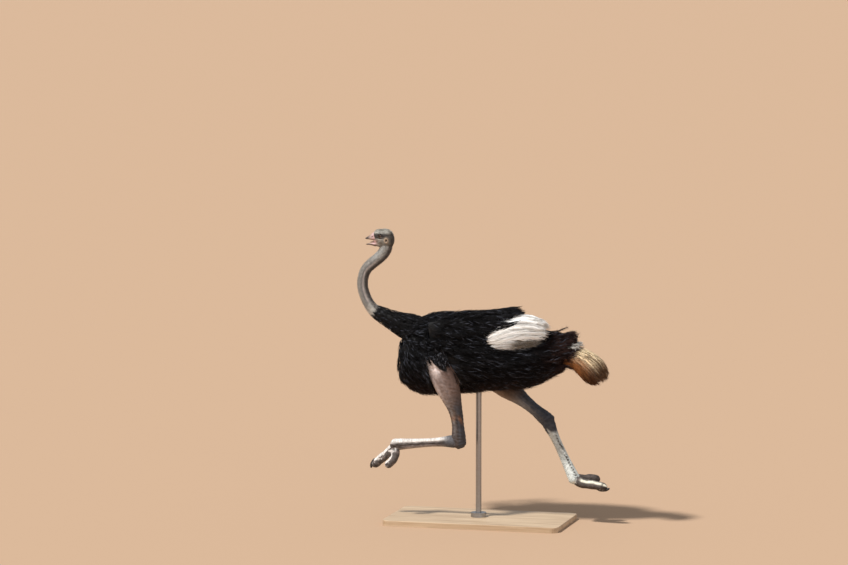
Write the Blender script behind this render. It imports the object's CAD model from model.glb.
"""The looks of a running ostrich cock on a display stand, in metres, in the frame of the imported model.

The bird runs towards -X and its left side is -Y. One skin is fused from smooth lofts. The plumage is
mesh: every feather has a shaft and loose barbs, each a thin closed strand, and lies along the body.
"""

import math

import bmesh
import bpy
import numpy as np
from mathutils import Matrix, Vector
from mathutils.bvhtree import BVHTree


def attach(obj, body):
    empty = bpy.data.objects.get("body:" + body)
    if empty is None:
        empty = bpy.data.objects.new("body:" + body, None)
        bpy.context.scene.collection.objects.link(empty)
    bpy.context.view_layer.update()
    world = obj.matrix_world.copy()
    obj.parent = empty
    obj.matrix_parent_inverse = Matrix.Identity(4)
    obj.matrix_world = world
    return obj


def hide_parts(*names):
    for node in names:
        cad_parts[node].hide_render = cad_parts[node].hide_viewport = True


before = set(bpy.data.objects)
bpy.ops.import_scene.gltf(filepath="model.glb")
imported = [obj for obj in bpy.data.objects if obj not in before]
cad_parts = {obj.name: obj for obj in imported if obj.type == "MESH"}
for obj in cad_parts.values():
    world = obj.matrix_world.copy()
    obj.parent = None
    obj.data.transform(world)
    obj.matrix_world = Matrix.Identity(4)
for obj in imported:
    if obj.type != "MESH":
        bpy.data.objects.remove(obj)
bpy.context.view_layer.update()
rng = np.random.default_rng(11)

SIDES = {"left": -1, "right": 1}
ACROSS = np.array([0.0, 1.0, 0.0])
UP = np.array([0.0, 0.0, 1.0])
BOTTOM = 3 * math.pi / 2  # the angle round a loft at its underside
OUTWARD = {"left": math.pi, "right": 0.0}

# ---------------------------------------------------------------- sizes of the body's lofts

TRUNK = [  # x, top, bottom, half width, to the tips of the feathers
    (-0.565, 1.095, 1.045, 0.030),
    (-0.553, 1.160, 1.000, 0.085),
    (-0.526, 1.215, 0.945, 0.130),
    (-0.474, 1.295, 0.894, 0.172),
    (-0.400, 1.365, 0.859, 0.202),
    (-0.300, 1.400, 0.850, 0.224),
    (-0.180, 1.414, 0.858, 0.242),
    (-0.040, 1.420, 0.872, 0.252),
    (0.100, 1.416, 0.889, 0.252),
    (0.230, 1.396, 0.900, 0.240),
    (0.340, 1.356, 0.918, 0.215),
    (0.440, 1.300, 0.968, 0.175),
    (0.530, 1.240, 1.016, 0.125),
    (0.585, 1.200, 1.050, 0.075),
    (0.606, 1.160, 1.095, 0.030),
]
NECK = [  # x, z, half width, half depth
    (-0.400, 1.255, 0.100, 0.112),
    (-0.480, 1.290, 0.086, 0.102),
    (-0.555, 1.316, 0.068, 0.084),
    (-0.620, 1.344, 0.052, 0.063),
    (-0.685, 1.374, 0.043, 0.050),
    (-0.735, 1.404, 0.037, 0.041),
    (-0.768, 1.445, 0.034, 0.037),
    (-0.794, 1.498, 0.033, 0.036),
    (-0.810, 1.560, 0.033, 0.036),
    (-0.806, 1.620, 0.033, 0.036),
    (-0.783, 1.676, 0.033, 0.037),
    (-0.742, 1.716, 0.034, 0.038),
    (-0.697, 1.752, 0.034, 0.039),
    (-0.662, 1.790, 0.035, 0.0405),
    (-0.646, 1.825, 0.035, 0.0410),
    (-0.642, 1.860, 0.032, 0.0340),
]
HEAD = [  # x, top, bottom, half width
    (-0.734, 1.906, 1.872, 0.0130),
    (-0.730, 1.924, 1.856, 0.0230),
    (-0.720, 1.935, 1.841, 0.0305),
    (-0.700, 1.942, 1.827, 0.0365),
    (-0.680, 1.9445, 1.818, 0.0405),
    (-0.655, 1.9455, 1.812, 0.0430),
    (-0.630, 1.941, 1.814, 0.0410),
    (-0.610, 1.927, 1.826, 0.0340),
    (-0.598, 1.906, 1.844, 0.0230),
    (-0.591, 1.886, 1.862, 0.0100),
]
BILL_UPPER = [
    (-0.704, 1.926, 1.868, 0.0305),
    (-0.722, 1.926, 1.868, 0.0300),
    (-0.738, 1.920, 1.870, 0.0280),
    (-0.756, 1.905, 1.873, 0.0240),
    (-0.772, 1.894, 1.875, 0.0185),
    (-0.784, 1.887, 1.876, 0.0125),
    (-0.790, 1.883, 1.877, 0.0060),
]
BILL_LOWER = [
    (-0.700, 1.858, 1.8220, 0.0290),
    (-0.716, 1.858, 1.8265, 0.0280),
    (-0.738, 1.855, 1.8330, 0.0250),
    (-0.760, 1.850, 1.8365, 0.0205),
    (-0.777, 1.8455, 1.8375, 0.0140),
    (-0.785, 1.8430, 1.8390, 0.0060),
]
JAW = [  # x, y, z, half width, upper and lower half depth of the throat's skin round the lower bill's root
    (-0.655, 0.0, 1.846, 0.026, 0.026, 0.026),
    (-0.680, 0.0, 1.844, 0.029, 0.022, 0.0245),
    (-0.702, 0.0, 1.843, 0.0300, 0.0160, 0.0225),
    (-0.716, 0.0, 1.842, 0.0280, 0.0110, 0.0170),
    (-0.728, 0.0, 1.841, 0.0190, 0.0060, 0.0100),
]
WING = [  # x, distance out, z, half thickness, half height
    (-0.415, 0.170, 1.268, 0.012, 0.030),
    (-0.385, 0.180, 1.272, 0.038, 0.070),
    (-0.310, 0.192, 1.280, 0.056, 0.098),
    (-0.180, 0.203, 1.296, 0.066, 0.116),
    (-0.020, 0.208, 1.312, 0.070, 0.130),
    (0.110, 0.198, 1.338, 0.066, 0.118),
    (0.215, 0.179, 1.378, 0.058, 0.086),
    (0.300, 0.157, 1.416, 0.048, 0.055),
    (0.340, 0.144, 1.428, 0.026, 0.036),
]
WING_PLUMES = [
    (0.060, 0.215, 1.235, 0.030, 0.050),
    (0.130, 0.215, 1.262, 0.052, 0.082),
    (0.220, 0.200, 1.292, 0.060, 0.109),
    (0.320, 0.174, 1.312, 0.062, 0.114),
    (0.400, 0.144, 1.308, 0.058, 0.104),
    (0.456, 0.122, 1.296, 0.046, 0.072),
    (0.484, 0.108, 1.288, 0.024, 0.038),
]
WING_SHIFT = {"left": 0.0, "right": -0.072}
TAIL_COVERTS = [  # x, z, half width, half depth
    (0.390, 1.185, 0.140, 0.105),
    (0.455, 1.180, 0.140, 0.118),
    (0.515, 1.180, 0.128, 0.120),
    (0.560, 1.196, 0.108, 0.100),
    (0.594, 1.230, 0.080, 0.060),
    (0.620, 1.264, 0.050, 0.037),
    (0.640, 1.290, 0.018, 0.020),
]
TAIL = [
    (0.520, 1.130, 0.060, 0.060),
    (0.600, 1.128, 0.078, 0.074),
    (0.665, 1.120, 0.096, 0.086),
    (0.725, 1.086, 0.110, 0.094),
    (0.775, 1.038, 0.112, 0.092),
    (0.812, 0.990, 0.090, 0.070),
    (0.828, 0.960, 0.040, 0.034),
]
LEGS = {
    "left": {
        "knee": (-0.262, -0.188, 1.124),
        "hock": (-0.113, -0.130, 0.560),
        "ankle": (-0.562, -0.100, 0.514),
        "bow": 0.038,
        "foot_top": (-0.75, 0.0, 0.66),
        "toe_inner": [
            (-0.556, -0.100, 0.500),
            (-0.610, -0.096, 0.452),
            (-0.670, -0.092, 0.403),
            (-0.716, -0.090, 0.360),
        ],
        "toe_outer": [
            (-0.556, -0.112, 0.490),
            (-0.550, -0.134, 0.440),
            (-0.574, -0.144, 0.402),
            (-0.612, -0.146, 0.372),
        ],
    },
    "right": {
        "knee": (-0.040, 0.185, 1.020),
        "hock": (0.424, 0.135, 0.686),
        "ankle": (0.624, 0.100, 0.296),
        "bow": 0.006,
        "foot_top": (-0.18, 0.0, -0.98),
        "toe_inner": [
            (0.618, 0.100, 0.306),
            (0.672, 0.098, 0.276),
            (0.758, 0.094, 0.268),
            (0.846, 0.090, 0.252),
        ],
        "toe_outer": [
            (0.626, 0.112, 0.304),
            (0.678, 0.134, 0.300),
            (0.734, 0.148, 0.304),
            (0.784, 0.152, 0.292),
        ],
    },
}
SHANK = [  # share of the way from knee to hock, half depth, half width
    (-0.10, 0.040, 0.030),
    (-0.04, 0.060, 0.046),
    (0.08, 0.078, 0.060),
    (0.24, 0.085, 0.067),
    (0.38, 0.079, 0.062),
    (0.50, 0.064, 0.051),
    (0.60, 0.051, 0.041),
    (0.72, 0.043, 0.034),
    (0.84, 0.042, 0.033),
    (0.93, 0.047, 0.037),
    (1.00, 0.049, 0.040),
    (1.06, 0.040, 0.034),
    (1.085, 0.020, 0.018),
]
TARSUS = [
    (0.00, 0.046, 0.038),
    (0.10, 0.043, 0.036),
    (0.22, 0.034, 0.029),
    (0.38, 0.029, 0.024),
    (0.60, 0.030, 0.024),
    (0.82, 0.035, 0.028),
    (0.94, 0.038, 0.034),
    (1.02, 0.035, 0.035),
    (1.06, 0.018, 0.020),
]
TOE = [
    (0.00, 0.0240, 0.0240),
    (0.10, 0.0320, 0.0305),
    (0.28, 0.0315, 0.0320),
    (0.42, 0.0285, 0.0300),
    (0.56, 0.0310, 0.0320),
    (0.70, 0.0285, 0.0300),
    (0.84, 0.0290, 0.0295),
    (0.94, 0.0225, 0.0235),
    (1.00, 0.0090, 0.0105),
]
TOE_OUTER_SCALE = 0.90
CLAW = [
    (0.72, 0.0220, 0.0045, 0.0070),
    (0.78, 0.0230, 0.0105, 0.0140),
    (0.90, 0.0195, 0.0120, 0.0140),
    (1.00, 0.0120, 0.0100, 0.0105),
    (1.07, 0.0010, 0.0045, 0.0050),
]
EYE_CENTRE, EYE_RADIUS = (-0.679, 0.0245, 1.9015), 0.0215
EAR_CENTRE = (-0.637, 0.0375, 1.872)
EYE_TILT = math.radians(-4.0)
LID_HALF_LENGTH, LID_HALF_HEIGHT, LID_THICK = 0.0175, 0.0120, 0.0024

SKIN_VOXEL, GUIDE_VOXEL = 0.0034, 0.009
THINNEST = 0.001  # half width of a loft
HEAD_BACK = -0.585  # the head is in front of this x
LEG_INSIDE = 0.03  # a leg's skin is further out than this


def coat_depth(share):
    """How deep the trunk's feathers are, from the breast, at 0, to the rump, at 1."""
    return np.interp(share, (0.0, 0.12, 0.35, 0.80, 1.0), (0.022, 0.025, 0.034, 0.040, 0.046))


def coat_inset(share):
    return -coat_depth(share)


# ---------------------------------------------------------------- small helpers


def unit(v):
    return v / np.maximum(np.linalg.norm(v, axis=-1, keepdims=True), 1e-9)


def ease(x, low=0.0, high=1.0):
    """0 below low, 1 above high, smooth between."""
    t = np.clip((np.asarray(x, float) - low) / (high - low), 0.0, 1.0)
    return t * t * (3 - 2 * t)


def bell(x, width, power=2):
    """1 where x is 0, and falling off to both sides over about the width."""
    return np.exp(-((x / width) ** power))


def waves(points, size, seed):
    """Smooth noise between about -1 and 1, whose bumps are about size across."""
    pick = np.random.default_rng(seed)
    total = np.zeros(len(points))
    for _ in range(9):
        way = unit(pick.normal(size=3)) * (2 * math.pi / size) * pick.uniform(0.5, 1.3)
        total += np.sin(points @ way + pick.uniform(0, 2 * math.pi))
    return total / 4.0


def flat_to(v, normal):
    """v without its part along the normal, at unit length."""
    return unit(v - normal * np.sum(v * normal, axis=-1, keepdims=True))


def smooth_rows(rows, at):
    """The rows, read as one smooth curve, at the given shares of its length."""
    rows = np.array(rows, float)
    steps = np.linalg.norm(np.diff(rows[:, :3], axis=0), axis=1)
    along = np.concatenate([[0.0], np.cumsum(steps)])
    slope = np.gradient(rows, along, axis=0)
    where = np.clip(np.asarray(at, float) * along[-1], 0.0, along[-1])
    low = np.clip(np.searchsorted(along, where, side="right") - 1, 0, len(rows) - 2)
    span = (along[low + 1] - along[low])[:, None]
    t = (where - along[low])[:, None] / span
    return (
        (2 * t**3 - 3 * t**2 + 1) * rows[low]
        + (t**3 - 2 * t**2 + t) * span * slope[low]
        + (3 * t**2 - 2 * t**3) * rows[low + 1]
        + (t**3 - t**2) * span * slope[low + 1]
    )


def heading(rows, at, step):
    """The way the rows run, from a step before each share of their length to a step past it."""
    ahead, behind = (smooth_rows(rows, np.clip(at + way, 0, 1))[:, :3] for way in (step, -step))
    return ahead - behind


def on_loft(rows, at, angle, upright=False, grow=0.0):
    """Points on a loft at shares of its length and angles round it, moved out by grow."""
    at, angle = np.broadcast_arrays(np.asarray(at, float), np.asarray(angle, float))
    tangent = heading(rows, at, 1e-3)
    if upright:
        tangent[:, 1:] = 0.0
    tangent = unit(tangent)
    across = unit(ACROSS - tangent * tangent[:, 1:2])
    up = np.cross(tangent, across)
    if upright:
        up = np.abs(up)
    found = smooth_rows(rows, at)
    wide, high = np.cos(angle), np.sin(angle)
    grow = np.broadcast_to(grow, at.shape)
    width = np.maximum(found[:, 3] + grow, THINNEST)
    depth = np.maximum(np.where(high > 0, found[:, 4], found[:, 5]) + grow, THINNEST)
    return found[:, :3] + across * (wide * width)[:, None] + up * (high * depth)[:, None]


def loft_frames(rows, at, angle, upright=False, grow=0.0):
    """Points on a loft, its outward normals there, and the way its length runs."""
    at, angle = np.broadcast_arrays(np.asarray(at, float), np.asarray(angle, float))
    point = on_loft(rows, at, angle, upright, grow)
    ahead, behind = (on_loft(rows, np.clip(at + way, 0, 1), angle, upright, grow) for way in (4e-3, -4e-3))
    along = unit(ahead - behind)
    around = unit(on_loft(rows, at, angle + 0.01, upright, grow) - point)
    normal = unit(np.cross(around, along))
    outward = point - smooth_rows(rows, at)[:, :3]
    normal *= np.where(np.sum(normal * outward, axis=1) < 0, -1.0, 1.0)[:, None]
    return point, normal, along


def upright_rows(rows, widest):
    """Rows of x, top, bottom and half width, with the widest level as a share of the height."""
    made = []
    for x, top, bottom, half_width in rows:
        level = bottom + widest * (top - bottom)
        made.append((x, 0.0, level, half_width, top - level, level - bottom))
    return made


def middle_rows(rows):
    return [(x, 0.0, z, width, depth, depth) for x, z, width, depth in rows]


def wing_rows(rows, word):
    side, shift = SIDES[word], WING_SHIFT[word]
    return [(x + shift, side * out, z + shift, thick, high, high) for x, out, z, thick, high in rows]


def limb_rows(profile, start, end, bow=0.0):
    start, end = np.array(start), np.array(end)
    made = []
    for share, depth, width in profile:
        x, y, z = start + (end - start) * share
        back = bow * math.sin(math.pi * min(max(share, 0.0), 1.0) ** 1.3)
        made.append((x + back, y, z, width, depth, depth))
    return made


def toe_rows(path, scale=1.0):
    points = smooth_rows(path, [share for share, _, _ in TOE])
    made = []
    for (x, y, z), (_, depth, width) in zip(points, TOE, strict=True):
        made.append((x, y, z, width * scale, depth * scale, depth * scale))
    return made


def leg_lofts(word):
    """The lofts of one leg: its rows, rings and sides."""
    leg = LEGS[word]
    return {
        "shank": (limb_rows(SHANK, leg["knee"], leg["hock"], leg["bow"]), 70, 48),
        "tarsus": (limb_rows(TARSUS, leg["hock"], leg["ankle"]), 50, 36),
        "toe_inner": (toe_rows(leg["toe_inner"]), 44, 30),
        "toe_outer": (toe_rows(leg["toe_outer"], TOE_OUTER_SCALE), 36, 28),
    }


TRUNK_ROWS = upright_rows(TRUNK, 0.52)
NECK_ROWS = middle_rows(NECK)
HEAD_ROWS = upright_rows(HEAD, 0.60)
TAIL_ROWS, COVERT_ROWS = middle_rows(TAIL), middle_rows(TAIL_COVERTS)
SHANKS = {word: leg_lofts(word)["shank"][0] for word in SIDES}


# ---------------------------------------------------------------- meshes and materials


def mesh_from(name, points, faces):
    """A mesh from arrays of points and of triangles or quads."""
    points, faces = np.asarray(points, np.float32), np.asarray(faces, np.int32)
    mesh = bpy.data.meshes.new(name)
    mesh.vertices.add(len(points))
    mesh.vertices.foreach_set("co", points.ravel())
    mesh.loops.add(faces.size)
    mesh.loops.foreach_set("vertex_index", faces.ravel())
    mesh.polygons.add(len(faces))
    mesh.polygons.foreach_set("loop_start", np.arange(0, faces.size, faces.shape[1], dtype=np.int32))
    mesh.polygons.foreach_set("use_smooth", np.ones(len(faces), bool))
    mesh.update()
    mesh.validate()
    return mesh


def face_out(mesh):
    """Turns a closed mesh's faces outward and shades them smooth."""
    made = bmesh.new()
    made.from_mesh(mesh)
    bmesh.ops.recalc_face_normals(made, faces=made.faces)
    made.to_mesh(mesh)
    made.free()
    mesh.shade_smooth()
    return mesh


def linked(name, data, finish=None):
    if finish:
        data.materials.append(finish)
    obj = bpy.data.objects.new(name, data)
    bpy.context.scene.collection.objects.link(obj)
    return obj


def with_modifiers(obj):
    """The object's mesh with its modifiers applied. The object itself is removed."""
    evaluated = obj.evaluated_get(bpy.context.evaluated_depsgraph_get())
    mesh = bpy.data.meshes.new_from_object(evaluated)
    bpy.data.objects.remove(obj)
    return mesh


def dressed(obj, slot, *nodes):
    """The piece rides on the one body, takes its finish from the slot, and stands for the nodes."""
    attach(obj, "root")
    if nodes:
        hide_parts(*nodes)


def loft_mesh(rows, rings, sides, upright=False, grow=0.0, start=0.0, end=1.0):
    """Points and quads of a closed loft, its ends drawn in to a round. grow may change with the share."""
    even = np.linspace(0.0, 1.0, rings)
    at = start + (end - start) * (0.6 * even + 0.4 * (1 - np.cos(even * math.pi)) / 2)
    depth = np.array([grow(share) for share in at]) if callable(grow) else np.full(rings, grow)
    angle = np.arange(sides) * 2 * math.pi / sides
    every_at, every_angle = np.repeat(at, sides), np.tile(angle, rings)
    points = on_loft(rows, every_at, every_angle, upright, np.repeat(depth, sides))
    ends = smooth_rows(rows, at[[0, -1]])[:, :3]
    if not callable(grow):
        way = unit(smooth_rows(rows, [0.02, 0.98])[:, :3] - ends)
        ends = ends - way * grow
        points[:sides] -= way[0] * grow
        points[-sides:] -= way[1] * grow
    points = np.vstack([points, ends])
    i = np.arange(sides)
    j = (i + 1) % sides
    faces = []
    for ring in range(rings - 1):
        low, high = ring * sides, (ring + 1) * sides
        faces.append(np.column_stack([i + low, j + low, j + high, i + high]))
    quads = np.vstack(faces)
    first, last = rings * sides, rings * sides + 1
    caps = np.vstack(
        [
            np.column_stack([j, i, np.full(sides, first)]),
            np.column_stack([i + (rings - 1) * sides, j + (rings - 1) * sides, np.full(sides, last)]),
        ]
    )
    return points, quads, caps


def loft_surface(name, *shape, **options):
    points, quads, caps = loft_mesh(*shape, **options)
    mesh = bpy.data.meshes.new(name)
    mesh.from_pydata(points.tolist(), [], quads.tolist() + caps.tolist())
    return face_out(mesh)


def loft_object(name, *shape, **options):
    return linked(name, loft_surface(name, *shape, **options))


def fused(name, objects, voxel, smoothing):
    """One closed surface round all the objects, which it uses up."""
    bpy.ops.object.select_all(action="DESELECT")
    for obj in objects:
        obj.select_set(True)
    bpy.context.view_layer.objects.active = objects[0]
    bpy.ops.object.join()
    joined = bpy.context.view_layer.objects.active
    remesh = joined.modifiers.new("fuse", "REMESH")
    remesh.mode = "VOXEL"
    remesh.voxel_size = voxel
    soften = joined.modifiers.new("soften", "SMOOTH")
    soften.factor = 0.5
    soften.iterations = smoothing
    return linked(name, with_modifiers(joined))


def arrays_of(mesh):
    points = np.empty(len(mesh.vertices) * 3, np.float32)
    normals = np.empty(len(mesh.vertices) * 3, np.float32)
    mesh.vertices.foreach_get("co", points)
    mesh.vertices.foreach_get("normal", normals)
    return points.reshape(-1, 3).astype(float), normals.reshape(-1, 3).astype(float)


def put_points(mesh, points):
    mesh.vertices.foreach_set("co", np.asarray(points, np.float32).ravel())
    mesh.update()


def put_tint(mesh, colours):
    """Stores a colour for each vertex, or one for all, which the materials read as their base."""
    layer = mesh.color_attributes.new("tint", "FLOAT_COLOR", "POINT")
    full = np.ones((len(mesh.vertices), 4), np.float32)
    full[:, :3] = np.clip(colours, 0.0, 1.0)
    layer.data.foreach_set("color", full.ravel())


def put_map(mesh, uv_of_points):
    """Writes the bake map, on which each corner lies where its point does."""
    index = np.empty(len(mesh.loops), np.int32)
    mesh.loops.foreach_get("vertex_index", index)
    layer = mesh.uv_layers.new(name="OFBake")
    layer.data.foreach_set("uv", np.asarray(uv_of_points[index], np.float32).ravel())


def add_piece(name, mesh, tints, finish, slot, *nodes):
    """A piece that rides on the one body, takes its finish from the slot, and stands for the nodes."""
    put_tint(mesh, tints)
    dressed(linked(name, mesh, finish), slot, *nodes)


def set_inputs(node, values):
    for name, value in values.items():
        node.inputs[name].default_value = value
    return node


class Finish:
    """A new material, whose nodes are added and linked by short calls."""

    def __init__(self, name, inputs):
        self.material = bpy.data.materials.new(name)
        self.material.use_nodes = True
        self.tree = self.material.node_tree
        self.shader = set_inputs(self.tree.nodes["Principled BSDF"], inputs)

    def add(self, kind, inputs=()):
        return set_inputs(self.tree.nodes.new(f"ShaderNode{kind}"), dict(inputs))

    def link(self, start, output, end, place):
        self.tree.links.new(start.outputs[output], end.inputs[place])


BUMP_TEXTURES = {"noise": ("TexNoise", "Fac"), "cells": ("TexVoronoi", "Distance")}


def tinted_material(name, roughness, specular=0.4, sheen=0.0, mottle=0.15, mottle_scale=40.0, bumps=()):
    """A material whose colour is the mesh's tint, mottled by noise. bumps are (kind, scale, height)."""
    inputs = {"Roughness": roughness, "Specular IOR Level": specular}
    made = Finish(name, inputs | {"Sheen Weight": sheen, "Sheen Roughness": 0.5})
    tint, where, scaled = made.add("Attribute"), made.add("TexCoord"), made.add("VectorMath")
    tint.attribute_name = "tint"
    scaled.operation = "SCALE"
    noise = made.add("TexNoise", {"Scale": mottle_scale, "Detail": 6.0})
    limits = {"To Min": 1.0 - mottle, "To Max": 1.0 + mottle, "From Min": 0.3, "From Max": 0.7}
    ranged = made.add("MapRange", limits)
    made.link(where, "Object", noise, "Vector")
    made.link(noise, "Fac", ranged, "Value")
    made.link(tint, "Color", scaled, 0)
    made.link(ranged, "Result", scaled, "Scale")
    made.link(scaled, "Vector", made.shader, "Base Color")
    last = None
    for kind, scale, height in bumps:
        texture_kind, output = BUMP_TEXTURES[kind]
        texture = made.add(texture_kind, {"Scale": scale})
        bump = made.add("Bump", {"Strength": 0.8, "Distance": height})
        made.link(where, "Object", texture, "Vector")
        made.link(texture, output, bump, "Height")
        if last:
            made.link(last, "Normal", bump, "Normal")
        last = bump
    if last:
        made.link(last, "Normal", made.shader, "Normal")
    return made.material


# ---------------------------------------------------------------- the camera, the floor and the light

TURN, TILT = math.radians(15.0), math.radians(6.5)  # the photo's viewing angle
CAMERA_DISTANCE = 29.0
LENS, SENSOR = 184.67, 36.0
RIGHTWARD = np.array([math.cos(TURN), math.sin(TURN), 0.0])
UPWARD = np.array([-math.sin(TURN) * math.sin(TILT), math.cos(TURN) * math.sin(TILT), math.cos(TILT)])
FORWARD = np.array([-math.sin(TURN) * math.cos(TILT), math.cos(TURN) * math.cos(TILT), -math.sin(TILT)])
SIGHT = RIGHTWARD * -0.3733 + UPWARD * 1.5967  # the middle of the picture
FLOOR_REACH, FLOOR_LEVEL = 600.0, -0.0006
FLOOR_SAND = (0.475, 0.322, 0.214, 1.0)
SKY, SKY_STRENGTH = (0.92, 0.95, 1.0), 0.44
KEY_SUN = ((0.46, 0.50, -1.0), 4.1, 6.0, (1.0, 0.985, 0.955))  # towards, strength, spread, colour
FILL_SUN = ((-0.45, 0.85, -0.30), 0.35, 40.0, SKY)


def build_camera():
    camera = bpy.data.cameras.new("camera")
    camera.lens, camera.sensor_width = LENS, SENSOR
    camera.clip_start, camera.clip_end = 0.1, 2000.0
    camera.dof.use_dof = False
    obj = linked("camera", camera)
    obj.location = SIGHT - FORWARD * CAMERA_DISTANCE
    obj.rotation_euler = Vector(FORWARD).to_track_quat("-Z", "Y").to_euler()
    bpy.context.scene.camera = obj


def build_floor():
    square = ((-1, -1), (1, -1), (1, 1), (-1, 1))
    corners = [(x * FLOOR_REACH, y * FLOOR_REACH, FLOOR_LEVEL) for x, y in square]
    mesh = bpy.data.meshes.new("floor")
    mesh.from_pydata(corners, [], [(0, 1, 2, 3)])
    inputs = {"Base Color": FLOOR_SAND, "Roughness": 0.9, "Specular IOR Level": 0.1}
    linked("floor", mesh, Finish("pale_floor", inputs).material)


def add_sun(name, towards, strength, spread, colour):
    sun = bpy.data.lights.new(name, "SUN")
    sun.energy, sun.angle, sun.color = strength, math.radians(spread), colour
    linked(name, sun).rotation_euler = Vector(towards).to_track_quat("-Z", "Y").to_euler()


def build_light():
    world = bpy.data.worlds.new("studio")
    bpy.context.scene.world = world
    world.use_nodes = True
    set_inputs(world.node_tree.nodes["Background"], {"Color": (*SKY, 1.0), "Strength": SKY_STRENGTH})
    add_sun("key", *KEY_SUN)
    add_sun("fill", *FILL_SUN)
    bpy.context.scene.view_settings.view_transform = "Standard"


# ---------------------------------------------------------------- the skin

BROW_AND_CREASES = (  # height, level above the eye's centre, breadth
    (0.0034, 0.0175, 0.0048),
    (-0.0016, -0.0185, 0.0030),
    (0.0012, -0.0240, 0.0040),
)
FLESH_NODES = ["trunk", "neck_base", "neck_lower", "neck_middle", "neck_upper", "head", "tail_coverts", "tail"]
for word in SIDES:
    FLESH_NODES += [f"{part}_{word}" for part in ("ear", "wing", "wing_plumes", "thigh", "shank", "tarsus")]
    FLESH_NODES += [f"toe_inner_{word}", f"toe_outer_{word}"]


def flesh_lofts():
    """Every loft that the skin is fused from: rows, rings, sides, upright, growth, start and end."""
    lofts = [
        (TRUNK_ROWS, 60, 64, True, coat_inset, 0.05, 0.94),
        (NECK_ROWS, 150, 40, False, lambda share: -0.0015 - 0.028 * (1 - ease(share, 0.05, 0.38)), 0, 1),
        (HEAD_ROWS, 70, 60, True, lambda share: -0.0006, 0, 1),
        (JAW, 40, 36, False, lambda share: 0.0, 0, 1),
        (COVERT_ROWS, 24, 36, False, lambda share: -0.040, 0.0, 0.80),
        (TAIL_ROWS, 24, 36, False, lambda share: -0.048, 0.0, 0.42),
    ]
    for word in SIDES:
        lofts.append((wing_rows(WING, word), 40, 40, False, lambda share: -0.034, 0.16, 0.90))
        lofts += [(*shape, False, lambda share: -0.0006, 0, 1) for shape in leg_lofts(word).values()]
    return lofts


def fused_flesh(name, voxel, smoothing):
    return fused(name, [loft_object(name, *shape) for shape in flesh_lofts()], voxel, smoothing)


def nearest_share(rows, points, samples=240):
    """For each point, the share of the rows' length nearest to it, and how far off it is in radii."""
    at = np.linspace(0.0, 1.0, samples)
    line = smooth_rows(rows, at)
    best = np.full(len(points), 1e9)
    share = np.zeros(len(points))
    for where, row in zip(at, line, strict=True):
        away = np.linalg.norm(points - row[:3], axis=1) / max(row[3], row[4], 0.004)
        closer = away < best
        best[closer] = away[closer]
        share[closer] = where
    return share, best


def refine(mesh, inside):
    """Splits every edge whose two ends the function says are inside."""
    made = bmesh.new()
    made.from_mesh(mesh)
    points = np.array([vert.co[:] for vert in made.verts])
    chosen = inside(points)
    edges = [e for e in made.edges if chosen[e.verts[0].index] and chosen[e.verts[1].index]]
    bmesh.ops.subdivide_edges(made, edges=edges, cuts=1, use_grid_fill=True)
    bmesh.ops.triangulate(made, faces=[f for f in made.faces if len(f.verts) > 3])
    made.to_mesh(mesh)
    made.free()


def smoothed(mesh, points, weight, rounds):
    """The points, each moved towards its neighbours' mean by its weight."""
    edges = np.empty(len(mesh.edges) * 2, np.int32)
    mesh.edges.foreach_get("vertices", edges)
    first, second = edges.reshape(-1, 2).T
    count = np.bincount(first, minlength=len(points)) + np.bincount(second, minlength=len(points))
    for _ in range(rounds):
        total = np.zeros_like(points)
        for axis in range(3):
            total[:, axis] += np.bincount(first, points[second, axis], len(points))
            total[:, axis] += np.bincount(second, points[first, axis], len(points))
        points = points + (total / count[:, None] - points) * weight[:, None]
    return points


def eye_centre(side):
    x, out, z = EYE_CENTRE
    return np.array((x, side * out, z))


def eye_place(points, side):
    """How far along and up from the eye's centre the points are, and the lids' measure: 1 on the rim."""
    away = points - eye_centre(side)
    along = away[:, 0] * math.cos(EYE_TILT) + away[:, 2] * math.sin(EYE_TILT)
    above = away[:, 2] * math.cos(EYE_TILT) - away[:, 0] * math.sin(EYE_TILT)
    measure = (np.abs(along) / LID_HALF_LENGTH) ** 1.7 + (np.abs(above) / LID_HALF_HEIGHT) ** 2
    return away, along, above, measure


def near_eye(points, reach):
    """True within reach of either eye's centre."""
    return np.min([np.linalg.norm(points - eye_centre(side), axis=1) for side in (1, -1)], axis=0) < reach


def ear_measure(points, side):
    """1 on the rim of the ear's opening, less inside, and 99 off that side of the head."""
    along, above = points[:, 0] - EAR_CENTRE[0], points[:, 2] - EAR_CENTRE[2]
    measure = np.sqrt((along / 0.0080) ** 2 + (above / 0.0105) ** 2)
    return np.where(points[:, 1] * side > 0.015, measure, 99.0)


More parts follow.
